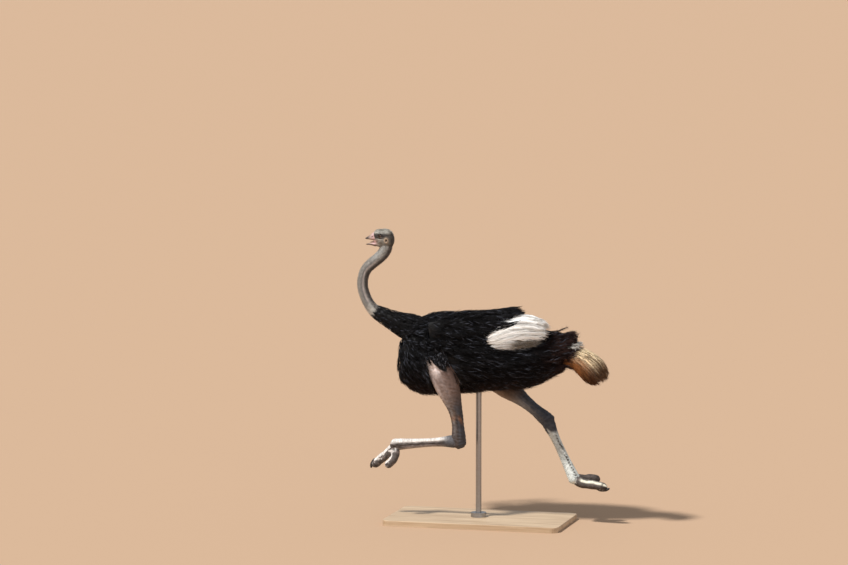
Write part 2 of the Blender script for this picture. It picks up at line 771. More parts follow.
def shape_head(points, normals):
    """The brow, the creases round the eye, the ear and the corner of the mouth, then the eyelids."""
    lift = np.zeros(len(points))
    x, y, z = points.T
    for side in SIDES.values():
        on_side = ease(side * y, 0.008, 0.022)
        _, along, above, _ = eye_place(points, side)
        reach = bell(along, 0.024) * on_side
        for height, level, breadth in BROW_AND_CREASES:
            lift += height * bell(above - level, breadth) * reach
        ear = ear_measure(points, side)
        lift += 0.0022 * bell(ear - 1.25, 0.32)
        lift -= 0.0060 * (1 - ease(ear, 0.35, 1.0))
        corner = z - (1.8625 + 0.25 * (x + 0.704))
        at_corner = ease(x, -0.712, -0.700) * (1 - ease(x, -0.690, -0.676))
        lift -= 0.0030 * bell(corner, 0.0026) * at_corner * on_side
    moved = points + normals * lift[:, None]
    for side in SIDES.values():
        away, _, _, measure = eye_place(moved, side)
        radius = np.linalg.norm(away, axis=1)
        near = (side * away[:, 1] > 0.0) & (radius < 0.040) & (measure < 4.0)
        lid = EYE_RADIUS + LID_THICK * (1 - ease(measure, 1.6, 4.0))
        wanted = np.where(measure < 1.0, EYE_RADIUS * 0.86, np.maximum(radius, lid))
        scale = np.where(near, wanted / np.maximum(radius, 1e-6), 1.0)
        moved = moved + away * (scale - 1.0)[:, None]
    return moved


def build_skin():
    """One skin from the bill to the toes, without a seam, thinned out where feathers cover it."""
    skin = fused_flesh("skin", SKIN_VOXEL, 2)
    points, _ = arrays_of(skin.data)
    covered = (np.abs(points[:, 0] - 0.05) < 0.58) & (points[:, 2] > 0.90)
    for word in SIDES:
        share, away = nearest_share(leg_lofts(word)["shank"][0], points, 60)
        covered &= ~((away < 1.25) & (share > 0.02))
    thinned = skin.modifiers.new("thin", "DECIMATE")
    group = skin.vertex_groups.new(name="covered")
    group.add(np.flatnonzero(covered).tolist(), 1.0, "REPLACE")
    group.add(np.flatnonzero(~covered).tolist(), 0.02, "REPLACE")
    thinned.vertex_group = "covered"
    thinned.vertex_group_factor = 8.0
    thinned.ratio = 0.24
    mesh = with_modifiers(skin)
    refine(mesh, lambda found: (found[:, 2] > 1.80) & (found[:, 0] < HEAD_BACK))
    refine(mesh, lambda found: near_eye(found, 0.034) & (np.abs(found[:, 1]) > 0.018))
    return linked("skin", mesh)


def mixed(base, other, amount):
    """Colours moved from base towards other by amount."""
    return base + (np.asarray(other) - base) * np.asarray(amount)[:, None]


def layered(base, *layers):
    """The base with each of the layers, (colour, amount), laid over it in turn."""
    for other, amount in layers:
        base = mixed(base, other, amount)
    return base


BLACK = (0.006, 0.0055, 0.006)
NECK_GREY, NECK_DARK, NECK_LIGHT = (0.250, 0.235, 0.215), (0.055, 0.044, 0.042), (0.480, 0.455, 0.410)
NECK_LINE, NECK_ROSE, NECK_THROAT = (0.150, 0.145, 0.145), (0.480, 0.405, 0.380), (0.400, 0.405, 0.390)
HEAD_GREY, HEAD_BROWN, CROWN_PALE = (0.215, 0.200, 0.172), (0.130, 0.100, 0.076), (0.400, 0.390, 0.350)
THROAT_DARK, NAPE_DARK, LORE_BLACK = (0.070, 0.054, 0.044), (0.040, 0.032, 0.027), (0.007, 0.006, 0.006)
EYE_DARK, CHEEK_TAN, EAR_DARK = (0.020, 0.016, 0.015), (0.400, 0.305, 0.220), (0.045, 0.026, 0.018)
MOUTH_PINK = (0.470, 0.285, 0.260)
BILL_ROOT_DARK, BILL_ROOT_PINK = (0.040, 0.034, 0.032), (0.360, 0.225, 0.195)
THIGH_PALE, THIGH_MAUVE, FAR_THIGH_SHADE = (0.860, 0.750, 0.720), (0.145, 0.094, 0.078), (0.46, 0.36, 0.27)
SHANK_LIGHT, SHANK_GREY, SHANK_DARK = (0.330, 0.310, 0.305), (0.150, 0.145, 0.152), (0.040, 0.042, 0.052)
SHANK_BROWN, RUST = (0.096, 0.068, 0.054), (0.300, 0.130, 0.055)
UNDER_WHITE, UNDER_BUFF = (0.620, 0.600, 0.560), (0.260, 0.130, 0.055)  # the skin under the plumes
LEG_PALE, LEG_BLUE = (0.700, 0.650, 0.610), (0.620, 0.650, 0.620)
TOE_BROWN, SOLE_CREAM = (0.075, 0.052, 0.040), (0.800, 0.760, 0.620)
FOOT_DARK, FOOT_PINK = (0.030, 0.020, 0.016), (0.230, 0.175, 0.160)
HOCK_ENDS = {"left": (0.10, 0.27), "right": (0.13, 0.22)}  # where the hock's dark skin fades out


def hock_tint(word):
    amount = {"left": 0.50, "right": 0.80}[word]
    return tuple(np.array(SHANK_GREY) * (1 - amount) + np.array(SHANK_DARK) * amount)


def limb_angle(rows, share, points):
    """The cosine and sine of each point's angle round a limb: outward across it, and up its depth."""
    tangent = unit(heading(rows, share, 4e-3))
    across = unit(ACROSS - tangent * tangent[:, 1:2])
    depth = np.cross(tangent, across)
    away = unit(points - smooth_rows(rows, share)[:, :3])
    return np.sum(away * across, axis=1), np.sum(away * depth, axis=1)


def neck_tint(points, share, deep):
    """The neck's colours: a dark line and a pale one along its side, and a dark hind edge."""
    deep = 0.10 * waves(points, 0.12, 7) - deep  # above 0 on the side that faces the body
    middle = ease(share, 0.43, 0.50) * (1 - ease(share, 0.78, 0.88))
    return layered(
        NECK_GREY,
        (NECK_LINE, 0.75 * middle * bell(deep + 0.04, 0.20)),
        (NECK_ROSE, 0.80 * middle * bell(deep - 0.30, 0.15)),
        (NECK_THROAT, 0.75 * ease(share, 0.78, 0.88) * bell(deep + 0.45, 0.45)),
        (NECK_LIGHT, 0.80 * (1 - ease(share, 0.405, 0.470)) * (1 - ease(deep, 0.3, 0.9))),
        (NECK_DARK, 0.9 * ease(deep, 0.42, 0.78)),
    )


def head_tint(points):
    """The head's colours: a pale crown, a dark band through the eye, a dark nape and throat, tan ears."""
    x, y, z = points.T
    drift = 0.003 * waves(points, 0.035, 22)
    band = bell(z + drift - 1.903 - 0.10 * (x + 0.66), 0.0115)
    lore = np.exp(-(((x + 0.704) / 0.011) ** 2) - ((z + drift - 1.897) / 0.014) ** 2)
    colour = layered(
        HEAD_GREY,
        (THROAT_DARK, 0.8 * (1 - ease(z + drift, 1.832, 1.854))),
        (EYE_DARK, 0.95 * band * ease(np.abs(y), 0.004, 0.016)),
        (CROWN_PALE, ease(z + drift, 1.913, 1.925)),
        (HEAD_BROWN, 0.55 * ease(waves(points, 0.026, 29), 0.0, 0.9)),
        (NAPE_DARK, 0.85 * ease(x + drift, -0.625, -0.600)),
        (LORE_BLACK, 0.95 * lore),
    )
    for side in SIDES.values():
        _, along, above, _ = eye_place(points, side)
        ear = ear_measure(points, side)
        here = side * y > 0.008
        around = np.exp(-(((np.abs(along) / 0.030) ** 2 + (above / 0.018) ** 2) ** 1.5)) * here
        below = bell(above + 0.026, 0.006) * bell(along, 0.026) * here
        colour = layered(
            colour,
            (EYE_DARK, 0.85 * around),
            (NECK_LIGHT, 0.7 * below),
            (CHEEK_TAN, 0.95 * bell(ear - 1.3, 0.65)),
            (EAR_DARK, 1 - ease(ear, 0.55, 1.0)),
        )
    return colour


def dress_neck(points, lift, tint):
    """Fine folds all along the bare neck and deep ones at its root, then its colours."""
    share, away = nearest_share(NECK_ROWS, points)
    on_neck = (away < 1.6) & (share > 0.30) & (points[:, 2] < 1.87)
    wide, deep = limb_angle(NECK_ROWS, share, points)
    bare = ease(share, 0.36, 0.42) * on_neck
    folds = np.sin(share * 2 * math.pi * 74 + 1.6 * waves(points, 0.05, 3))
    lift += bare * (0.00045 * folds * (0.5 + 0.5 * waves(points, 0.09, 4)) + 0.0006 * waves(points, 0.012, 5))
    root_folds = bare * (1 - ease(share, 0.42, 0.50))
    lift += 0.0014 * root_folds * np.sin(share * 2 * math.pi * 52 + waves(points, 0.03, 6))
    lift += 0.0012 * bare * bell(wide + 0.25, 0.16) * (deep < 0)
    border = share + 0.012 * waves(points, 0.045, 18)
    colour = mixed(neck_tint(points, share, deep), BLACK, 1 - ease(border, 0.362, 0.392))
    tint[on_neck] = colour[on_neck]


def dress_head(points, tint):
    x, _, z = points.T
    in_mouth = ease(-x, 0.704, 0.716) * (1 - ease(np.abs(z - 1.863), 0.006, 0.014))
    base = ease(-x, 0.688, 0.706) * (1 - in_mouth)
    colour = layered(
        head_tint(points),
        (MOUTH_PINK, in_mouth),
        (BILL_ROOT_DARK, 0.8 * base * ease(z, 1.882, 1.892) * (1 - ease(z, 1.912, 1.920))),
        (BILL_ROOT_PINK, 0.6 * base * (1 - ease(z, 1.872, 1.884))),
    )
    on_head = ease(z, 1.820, 1.850) * (x < HEAD_BACK)
    tint[:] = mixed(tint, colour, on_head)


def dress_shank(points, place, word):
    """How far a thigh's and shank's skin is raised by its tendons and folds, and its colours."""
    share, away, wide, deep = place
    near, outer = word == "left", wide * SIDES[word]
    tendon = 0.0055 * bell(deep - 0.15, 0.16) * ease(outer, 0.1, 0.6)
    raised = -(tendon * (1 - ease(share, 0.45, 0.62)) * ease(share, 0.05, 0.2))
    cord = 0.0042 * bell(np.abs(deep - 0.30) - 0.30, 0.16) * ease(np.abs(wide), 0.2, 0.7)
    raised += cord * ease(share, 0.55, 0.7) * (1 - ease(share, 0.86, 0.95))
    folds = np.sin(share * 2 * math.pi * 34 + 2 * waves(points, 0.05, 8))
    raised += 0.0009 * folds * ease(share, 0.80, 0.92)
    raised += 0.0011 * waves(points, 0.026, 9)
    front = ease(-deep, -0.65, 0.45)
    sunlit = ease(front + 0.45 * outer + 0.10 * waves(points, 0.09, 19), 0.25, 1.0)
    sunlit = sunlit * (1 - 0.88 * ease(share + 0.03 * waves(points, 0.07, 25), 0.17, 0.29))
    sunlit = np.maximum(sunlit, 0.40 * bell(deep + 0.80, 0.28))
    lower = layered(
        SHANK_BROWN if near else SHANK_GREY,
        (SHANK_DARK, 0.9 * ease(deep + 0.3 * waves(points, 0.06, 23), -0.4, 0.6)),
        (SHANK_LIGHT, (0.4 if near else 0.25) * bell(deep + 0.50, 0.22) * (1 - ease(share, 0.80, 0.92))),
        (SHANK_DARK, ease(share, 0.66, 0.90) * (0.45 if near else 0.75)),
    )
    rusty = bell(share - 0.71, 0.045) * ease(waves(points, 0.06, 10) + outer - 0.4 * deep, 0.3, 1.4)
    colour = layered(THIGH_MAUVE, (THIGH_PALE, sunlit), (lower, ease(share, 0.38, 0.64)), (RUST, 0.6 * rusty))
    if not near:
        colour = colour * mixed(np.ones(3), FAR_THIGH_SHADE, 1 - ease(share, 0.45, 0.65))
    feathered = (share < 0.45) & (~in_thigh(points, -0.012) | (away > 1.10))
    return raised, mixed(colour, BLACK, feathered)


def dress_tarsus(points, place, word):
    """How far a tarsus's skin is raised, and its colours, with the dark band along its side."""
    share, _, wide, deep = place
    near = word == "left"
    folds = np.sin(share * 2 * math.pi * 30 + 2 * waves(points, 0.04, 11))
    raised = 0.0008 * folds * (1 - ease(share, 0.06, 0.16))
    cord = 0.0030 * bell(np.abs(deep) - 0.25, 0.15) * ease(np.abs(wide), 0.3, 0.8)
    raised -= cord * ease(share, 0.15, 0.3) * (1 - ease(share, 0.8, 0.92))
    middle, breadth = (0.06, 0.60) if near else (0.66, 0.22)
    band = bell(deep - middle + 0.10 * waves(points, 0.07, 20), breadth, 4)
    broken = 0.90 + 0.10 * waves(points, 0.02, 24) if near else ease(waves(points, 0.016, 24), -0.7, 0.5)
    fleck = ease(waves(points, 0.011, 26), 0.55, 1.1)
    return raised, layered(
        LEG_PALE if near else LEG_BLUE,
        (FOOT_PINK, (0.75 if near else 0.0) * ease(deep, -0.45, 0.0)),
        (FOOT_DARK, 0.96 * band * broken),
        (FOOT_DARK, (0.35 if near else 0.55) * fleck * ease(share, 0.2, 0.8)),
        (hock_tint(word), 1 - ease(share - 0.04 * deep + 0.02 * waves(points, 0.03, 15), *HOCK_ENDS[word])),
    )


def dress_toe(points, place, word, part):
    """A toe's rise and colours: worn patches on the left foot, a cream edge on the right one's long toe."""
    share, _, wide, deep = place
    near = word == "left"
    beside = ease(np.abs(wide), 0.45, 0.85)
    blotch = ease(waves(points, 0.030, 16) + 0.5 * waves(points, 0.012, 17), 0.1, 1.1)
    layers = [
        (FOOT_DARK, 0.9 * np.maximum(beside, ease(deep, -0.3, 0.3))),
        (FOOT_PINK, (0.60 if near else 0.35) * blotch),
    ]
    if near:
        worn = ease(waves(points, 0.034, 27) + 0.4 * waves(points, 0.010, 28), 0.35, 0.75)
        layers.append((LEG_PALE, 0.75 * worn * (1 - ease(deep, 0.25, 0.75))))
    elif part == "toe_inner":
        strip = bell(deep - 0.62, 0.26, 4) * ease(share, 0.14, 0.24)
        layers.append((SOLE_CREAM, 0.92 * strip))
        layers.append((FOOT_DARK, 0.9 * ease(share, 0.86, 0.94) * (1 - ease(deep, 0.2, 0.6))))
    else:
        layers.append((FOOT_DARK, np.full(len(points), 0.5)))
    layers.append((FOOT_DARK, 0.8 * (1 - ease(share, 0.86, 0.90)) * ease(share, 0.80, 0.86)))
    return 0.0006 * waves(points, 0.010, 12), layered(LEG_PALE, *layers)


def dress_leg(word, points, lift, tint):
    """Raises and colours one leg's skin, each point by the loft that it is nearest to."""
    lofts = leg_lofts(word)
    places = {part: nearest_share(shape[0], points, 160) for part, shape in lofts.items()}
    nearest = np.argmin([away for _, away in places.values()], axis=0)
    on_side = points[:, 1] * SIDES[word] > LEG_INSIDE
    for index, (part, (rows, _, _)) in enumerate(lofts.items()):
        share, away = places[part]
        here = on_side & (nearest == index) & (away < 1.7)
        place = (share, away, *limb_angle(rows, share, points))
        if part == "shank":
            raised, colour = dress_shank(points, place, word)
        elif part == "tarsus":
            raised, colour = dress_tarsus(points, place, word)
        else:
            raised, colour = dress_toe(points, place, word, part)
        lift[here] += raised[here]
        tint[here] = colour[here]


def below_hocks(places):
    """True on the tarsi and feet."""
    low = np.zeros(len(places), bool)
    for word, leg in LEGS.items():
        hock, ankle = np.array(leg["hock"]), np.array(leg["ankle"])
        past = (places - hock) @ unit(ankle - hock) > 0.0
        low |= past & (places[:, 1] * SIDES[word] > LEG_INSIDE) & (places[:, 2] < 0.80)
    return low


def finish_skin(skin):
    """The skin's fine shapes, its colours, and its two materials."""
    mesh = skin.data
    points, _ = arrays_of(mesh)
    head = ease(points[:, 2], 1.805, 1.830) * (points[:, 0] < HEAD_BACK)
    put_points(mesh, smoothed(mesh, points, 0.5 * head, 6))
    points, normals = arrays_of(mesh)
    lift = np.zeros(len(points))
    tint = np.tile(BLACK, (len(points), 1)).astype(float)
    dress_neck(points, lift, tint)
    for word in SIDES:
        dress_leg(word, points, lift, tint)
    dress_head(points, tint)
    for word in SIDES:
        _, away = nearest_share(wing_rows(WING_PLUMES, word), points)
        tint[(away < 1.12) & in_white(points, 0.012)] = UNDER_WHITE
    _, away = nearest_share(TAIL_ROWS, points)
    tint[(away < 1.20) & (points[:, 0] > 0.635)] = UNDER_BUFF
    lift *= 1 - head
    points = points + normals * lift[:, None]
    shaped = shape_head(points, normals)
    points = points + (shaped - points) * ease(head, 0.0, 0.3)[:, None]
    put_points(mesh, points)
    put_tint(mesh, tint * (1 + 0.10 * waves(points, 0.02, 13))[:, None])
    fine = (("cells", 420, 0.0008), ("noise", 90, 0.0015))
    coarse = (("cells", 260, 0.0018), ("noise", 60, 0.002))
    mesh.materials.append(tinted_material("bare_skin", 0.55, 0.35, 0.0, 0.22, 60.0, fine))
    mesh.materials.append(tinted_material("leg_skin", 0.60, 0.16, 0.0, 0.28, 45.0, coarse))
    index = np.empty(len(mesh.polygons) * 3, np.int32)
    mesh.polygons.foreach_get("vertices", index)
    low = below_hocks(points[index.reshape(-1, 3)].mean(axis=1))
    mesh.polygons.foreach_set("material_index", low.astype(np.int32))
    mesh.polygons.foreach_set("use_smooth", np.ones(len(low), bool))
    mesh.update()
    dressed(skin, "bare_skin", *FLESH_NODES)


# ---------------------------------------------------------------- strands, feathers and their colours

PATCH = 0.003  # of the bake map, for each tuft
STATIONS = 9  # along a shaft that follows a loft
BARB_BEND = 0.55
BARB_TAPERS = {4: (0.75, 1.0, 0.85, 0.0), 5: (*np.linspace(0.9, 0.5, 4), 0.0)}  # by the number of knots
SHAFT_TAPER = (1.0, 0.95, 0.85, 0.7, 0.5, 0.0)
FEATHER = {  # what every look has, unless it says otherwise
    "knots": 4,
    "vary": 0.30,  # of the barbs' brightness
    "round": 0.20,  # radius of the feather's curve across
    "stem": 0.0011,
    "stem_shade": 1.2,
    "tip": (0.0, 0.0, 0.0),
    "tip_amount": 0.0,
    "tip_from": (0.75, 1.05),
}
PLUME_BLACK = FEATHER | {
    "barbs": 10,  # on each side of the shaft
    "open": (27, 9),  # angle from the shaft, in degrees, at its root and tip
    "barb": 0.0014,
    "fluff": 0.0050,
    "wave": 0.0018,
    "ripples": 3.0,
    "glint": (0.090, 0.098, 0.125),
    "glint_share": 0.11,
}
PLUME_RAGGED = PLUME_BLACK | {
    "open": (36, 14),
    "fluff": 0.0085,
    "tip": (0.050, 0.021, 0.013),
    "tip_amount": 0.6,
}
PLUME_WHITE = FEATHER | {
    "barbs": 56,
    "open": (14, 6),
    "vary": 0.08,
    "barb": 0.0020,
    "fluff": 0.0020,
    "wave": 0.0042,
    "ripples": 3.2,
    "knots": 5,
    "stem": 0.0016,
    "stem_shade": 0.85,
    "glint": (0.50, 0.46, 0.37),
    "glint_share": 0.06,
    "round": 0.10,
}
WISPS = PLUME_WHITE | {
    "barbs": 44,
    "open": (20, 12),
    "tip": (0.110, 0.082, 0.048),
    "tip_amount": 0.92,
    "tip_from": (0.34, 0.62),
    "fluff": 0.006,
    "vary": 0.25,
    "barb": 0.0015,
}
PLUME_BUFF = FEATHER | {
    "barbs": 46,
    "open": (22, 9),
    "vary": 0.25,
    "barb": 0.0017,
    "fluff": 0.0045,
    "wave": 0.0055,
    "ripples": 2.6,
    "knots": 5,
    "stem": 0.0014,
    "tip": (0.085, 0.032, 0.010),
    "tip_amount": 0.95,
    "tip_from": (0.52, 0.92),
    "glint": (0.13, 0.060, 0.022),
    "glint_share": 0.20,
    "round": 0.10,
}
TAIL_FLUFF = PLUME_BUFF | {
    "barbs": 12,
    "open": (30, 14),
    "fluff": 0.008,
    "tip_amount": 0.0,
    "glint_share": 0.05,
}
COAT_PARTS = {  # the trunk's feathers, by x
    "breast": (-1, -0.43),
    "chest": (-0.43, -0.26),
    "shoulders": (-0.26, -0.02),
    "loins": (-0.02, 0.27),
    "rump": (0.27, 1),
}
SPIKES = (  # many, half width, aside, then x, half spread, lowest and highest of the roots and of the tips
    (70, 0.017, 0.0, (0.490, 0.080, 1.180, 1.262), (0.652, 0.030, 1.272, 1.300)),
    (60, 0.020, 0.0, (0.510, 0.095, 1.120, 1.215), (0.632, 0.070, 1.190, 1.275)),
    (10, 0.007, -0.03, (0.470, 0.012, 1.258, 1.272), (0.610, 0.008, 1.326, 1.336)),
)
PATCH_LINES = {  # where the tongue's feathers start and end, from its front one to its hind one
    "left": (((-0.312, 0.235, 1.205), (-0.205, 0.235, 1.215)), ((-0.262, 0.25, 1.094), (-0.158, 0.25, 1.034))),
    "right": (((-0.080, 0.235, 1.095), (0.030, 0.235, 1.115)), ((-0.020, 0.25, 1.005), (0.060, 0.25, 0.975))),
}
# borders of the bare thigh and of the white plumes, each a pair of rows for np.interp
BARE_FROM = (  # share of the shank, by how far behind its middle
    (-0.030, -0.009, 0.021, 0.060, 0.072),
    (0.00, 0.075, 0.168, 0.210, 0.130),
)
WHITE_FRONT = (  # x, by z
    (1.14, 1.194, 1.260, 1.306, 1.326, 1.365, 1.380, 1.388, 1.398, 1.406, 1.416, 1.424, 1.470),
    (0.085, 0.106, 0.135, 0.152, 0.169, 0.240, 0.290, 0.320, 0.250, 0.200, 0.200, 0.345, 0.350),
)
WHITE_BELOW = ((0.08, 0.26, 0.37, 0.48, 0.56), (1.194, 1.194, 1.212, 1.280, 1.350))  # z, by x


def strand_arrays(lines, wide_way, raised_way, half_widths, thick):
    """Closed three-sided strands. lines is (strands, knots, 3); each ends in a point at its last knot."""
    count, knots = lines.shape[:2]
    rings = knots - 1
    width = half_widths[..., None]
    edges = [lines - wide_way * width, lines + wide_way * width, lines + raised_way * width * (2 * thick)]
    body = np.stack(edges, axis=2)[:, :rings].reshape(count, rings * 3, 3)
    points = np.concatenate([body, lines[:, -1:]], axis=1)
    each = rings * 3 + 1
    faces = [(0, 2, 1)]
    for ring in range(rings - 1):
        for corner in range(3):
            a, b = ring * 3 + corner, ring * 3 + (corner + 1) % 3
            faces += [(a, b, b + 3), (a, b + 3, a + 3)]
    last = (rings - 1) * 3
    faces += [(last + corner, last + (corner + 1) % 3, each - 1) for corner in range(3)]
    faces = np.array(faces)[None] + (np.arange(count) * each)[:, None, None]
    knot_of = np.concatenate([np.repeat(np.arange(rings), 3), [rings]])
    return points.reshape(-1, 3), faces.reshape(-1, 3), knot_of


def at_stations(stations, where):
    """Reads the stations (feathers, steps + 1, 3) at positions (feathers, n), running on past the last."""
    last = stations.shape[1] - 1
    where = where * last
    low = np.clip(np.floor(where).astype(int), 0, last - 1)
    part = (where - low)[..., None]
    row = np.arange(len(stations)).reshape((-1,) + (1,) * (where.ndim - 1))
    return stations[row, low] * (1 - part) + stations[row, low + 1] * part


class Coat:
    """Collects strands for one piece of coat, with each point's tint and its place on the bake map."""

    def __init__(self):
        self.points, self.faces, self.tints, self.maps = [], [], [], []
        self.total = 0

    def add(self, lines, wide_way, raised_way, half_widths, tints, maps, thick=0.45):
        """tints is (strands, knots, 3) and maps (strands, knots, 2)."""
        points, faces, knot_of = strand_arrays(lines, wide_way, raised_way, half_widths, thick)
        self.points.append(points)
        self.faces.append(faces + self.total)
        self.tints.append(tints[:, knot_of].reshape(-1, 3))
        self.maps.append(maps[:, knot_of].reshape(-1, 2))
        self.total += len(points)

    def piece(self, name, finish, slot, *nodes):
        mesh = mesh_from(name, np.vstack(self.points), np.vstack(self.faces))
        put_map(mesh, np.vstack(self.maps))
        add_piece(name, mesh, np.vstack(self.tints), finish, slot, *nodes)


def body_map(points):
    """An unwrap of the body's own shape: round it, and along it."""
    round_it = np.arctan2(points[:, 1], points[:, 2] - 1.14) / (2 * math.pi) + 0.5
    along_it = (points[:, 0] + 0.80) / 1.70
    return np.column_stack([round_it, along_it]) * 0.98 + 0.01


def loft_map(at, angle):
    """An unwrap of a loft's own shape: round it, and along it."""
    return np.column_stack([(angle / (2 * math.pi)) % 1.0, at]) * 0.98 + 0.01


def add_feathers(coat, stations, ups, half_width, tints, maps, look, lengths=None):
    """Feathers along their shafts, barb by barb, as the look says."""
    if lengths is None:
        lengths = np.linalg.norm(np.diff(stations, axis=1), axis=2).sum(axis=1)
    count, per_side, knots = len(stations), look["barbs"], look["knots"]
    sign = np.tile([-1.0, 1.0], per_side)[None, :, None]
    base = np.repeat(np.linspace(0.05, 0.97, per_side), 2)[None, :]
    base = base + rng.uniform(-1.0, 1.0, (count, 2 * per_side)) / per_side
    base = np.clip(base, 0.0, 1.0)[..., None]
    along = np.linspace(0.0, 1.0, knots)[None, None, :]
    open_root, open_tip = look["open"]
    angle = np.radians(open_root + (open_tip - open_root) * base) * rng.uniform(0.5, 1.5, base.shape)
    shape = np.sin(math.pi * np.clip(0.16 + 0.80 * base, 0, 1)) ** 0.6
    half_width = np.broadcast_to(half_width, count)[:, None, None]
    barb = half_width * shape * rng.uniform(0.6, 1.35, base.shape) / math.sin(math.radians(open_root))
    out = barb * np.sin(angle) * (along - BARB_BEND * along**2 / 2)
    forward = barb * (np.cos(angle) * along + BARB_BEND * np.sin(angle) * along**2 / 2)
    u = base + forward / lengths[:, None, None]

    def read(rows, where):
        return at_stations(rows, where.reshape(count, -1)).reshape(*u.shape, 3)

    centre = read(stations, u)
    # neighbours share their ripples, so that these show as folds across the plumes
    phase = 2 * math.pi * (centre[..., 2] * 11 + centre[..., 1] * 7) + rng.normal(0, 0.5, base.shape)
    ripple = look["wave"] * np.sin(u * look["ripples"] * 2 * math.pi + phase)
    v = sign * out + ripple * ease(along, 0, 0.6)
    up = unit(read(ups, np.clip(u, 0, 1)))
    across = unit(np.cross(up, unit(read(stations, u + 0.02) - centre)))
    fluff = look["fluff"] * rng.normal(0.0, 1.0, base.shape) * along
    sag = v**2 / (2 * look["round"])
    lines = centre + across * v[..., None] + up * (fluff - sag)[..., None]
    width = look["barb"] * np.array(BARB_TAPERS[knots]) * rng.uniform(0.7, 1.3, base.shape)
    wide_way = unit(np.cross(up, unit(np.gradient(lines, axis=2))))
    bright = rng.uniform(1 - look["vary"], 1 + look["vary"], base.shape)
    colour = np.broadcast_to(tints[:, None, None, :] * bright[..., None], (*u.shape, 3))
    tipped = look["tip_amount"] * ease(u, *look["tip_from"])
    colour = colour + (np.asarray(look["tip"]) - colour) * tipped[..., None]
    glinting = (rng.uniform(size=base.shape) < look["glint_share"]) * np.sin(math.pi * along)
    colour = colour + (np.asarray(look["glint"]) - colour) * glinting[..., None]
    place = np.stack([np.clip(v / 0.06, -1, 1) * 0.5, np.clip(u, 0, 1) - 0.5], axis=-1) * PATCH
    spots = maps[:, None, None, :] + place
    flat = (count * 2 * per_side, knots)
    lines, wide_way, up, colour = (array.reshape(*flat, 3) for array in (lines, wide_way, up, colour))
    half_widths = np.broadcast_to(width, u.shape).reshape(flat)
    coat.add(lines, wide_way, up, half_widths, colour, spots.reshape(*flat, 2))
    add_shafts(coat, stations, ups, tints, maps, look)


def add_shafts(coat, stations, ups, tints, maps, look):
    where = np.tile(np.linspace(0.0, 1.0, len(SHAFT_TAPER)), (len(stations), 1))
    shaft, up = at_stations(stations, where), unit(at_stations(ups, where))
    across = unit(np.cross(up, unit(np.gradient(shaft, axis=1))))
    half_widths = np.tile(look["stem"] * np.array(SHAFT_TAPER), (len(stations), 1))
    colour = np.tile((tints * look["stem_shade"])[:, None, :], (1, len(SHAFT_TAPER), 1))
    place = np.stack([np.zeros_like(where), where - 0.5], axis=-1) * PATCH
    coat.add(shaft, across, up, half_widths, colour, maps[:, None, :] + place, 0.8)


class Guide:
    """The smooth form under the feathers, which their shafts follow."""

    STEPS, ROOT_HEIGHT = 7, 0.003

    def __init__(self):
        form = fused_flesh("guide", GUIDE_VOXEL, 4)
        self.tree = BVHTree.FromObject(form, bpy.context.evaluated_depsgraph_get())
        bpy.data.objects.remove(form)

    def nearest(self, points):
        found = [self.tree.find_nearest(Vector(point)) for point in points]
        return np.array([hit[0][:] for hit in found]), np.array([hit[1][:] for hit in found])

    def walk(self, points, lengths, reach, way_at, hold=0.85):
        """Stations along the shafts, and the way out from the body at each."""
        near, normal = self.nearest(points)
        place = near + normal * self.ROOT_HEIGHT
        ahead = flat_to(way_at(place), normal)
        stations, ups = [place], [normal]
        for step in range(1, self.STEPS + 1):
            height = self.ROOT_HEIGHT + (reach - self.ROOT_HEIGHT) * ease(step / self.STEPS, 0.0, 0.65)
            ahead = unit(ahead + flat_to(way_at(place), normal))
            place = place + ahead * (lengths / self.STEPS)[:, None]
            near, out = self.nearest(place)
            gap = np.sum((place - near) * out, axis=1) - height
            place = place - out * (gap * np.where(gap > 0, hold, 1.0))[:, None]
            normal = unit(normal * 0.4 + out * 0.6)
            ahead = unit(place - stations[-1])
            stations.append(place)
            ups.append(normal)
        return np.stack(stations, axis=1), np.stack(ups, axis=1)


def spread(rows, spacing, start=0.0, end=1.0, upright=False, grow=0.0, arc=(0.0, 2 * math.pi)):
    """Staggered, jittered places on a loft, about spacing apart."""
    samples = np.linspace(start, end, 200)
    line = smooth_rows(rows, samples)
    length = np.concatenate([[0.0], np.cumsum(np.linalg.norm(np.diff(line[:, :3], axis=0), axis=1))])
    inset_at = grow if callable(grow) else lambda share: grow
    at, angle, sweep = [], [], arc[1] - arc[0]
    for row in range(max(2, round(length[-1] / spacing))):
        where = np.interp((row + 0.5) * spacing, length, samples)
        half_width, half_depth = smooth_rows(rows, [where])[0][3:5] + inset_at(where)
        girth = sweep * (max(half_width, 0.01) + max(half_depth, 0.01)) / 2
        many = max(1, round(girth / spacing))
        for place in range(many):
            at.append(where + rng.uniform(-0.4, 0.4) * spacing / length[-1] * (end - start))
            angle.append(arc[0] + sweep * (place + 0.5 * (row % 2) + rng.uniform(0.1, 0.9)) / many)
    at, angle = np.clip(np.array(at), 0, 1), np.array(angle)
    return at, angle, *loft_frames(rows, at, angle, upright, inset_at(at))


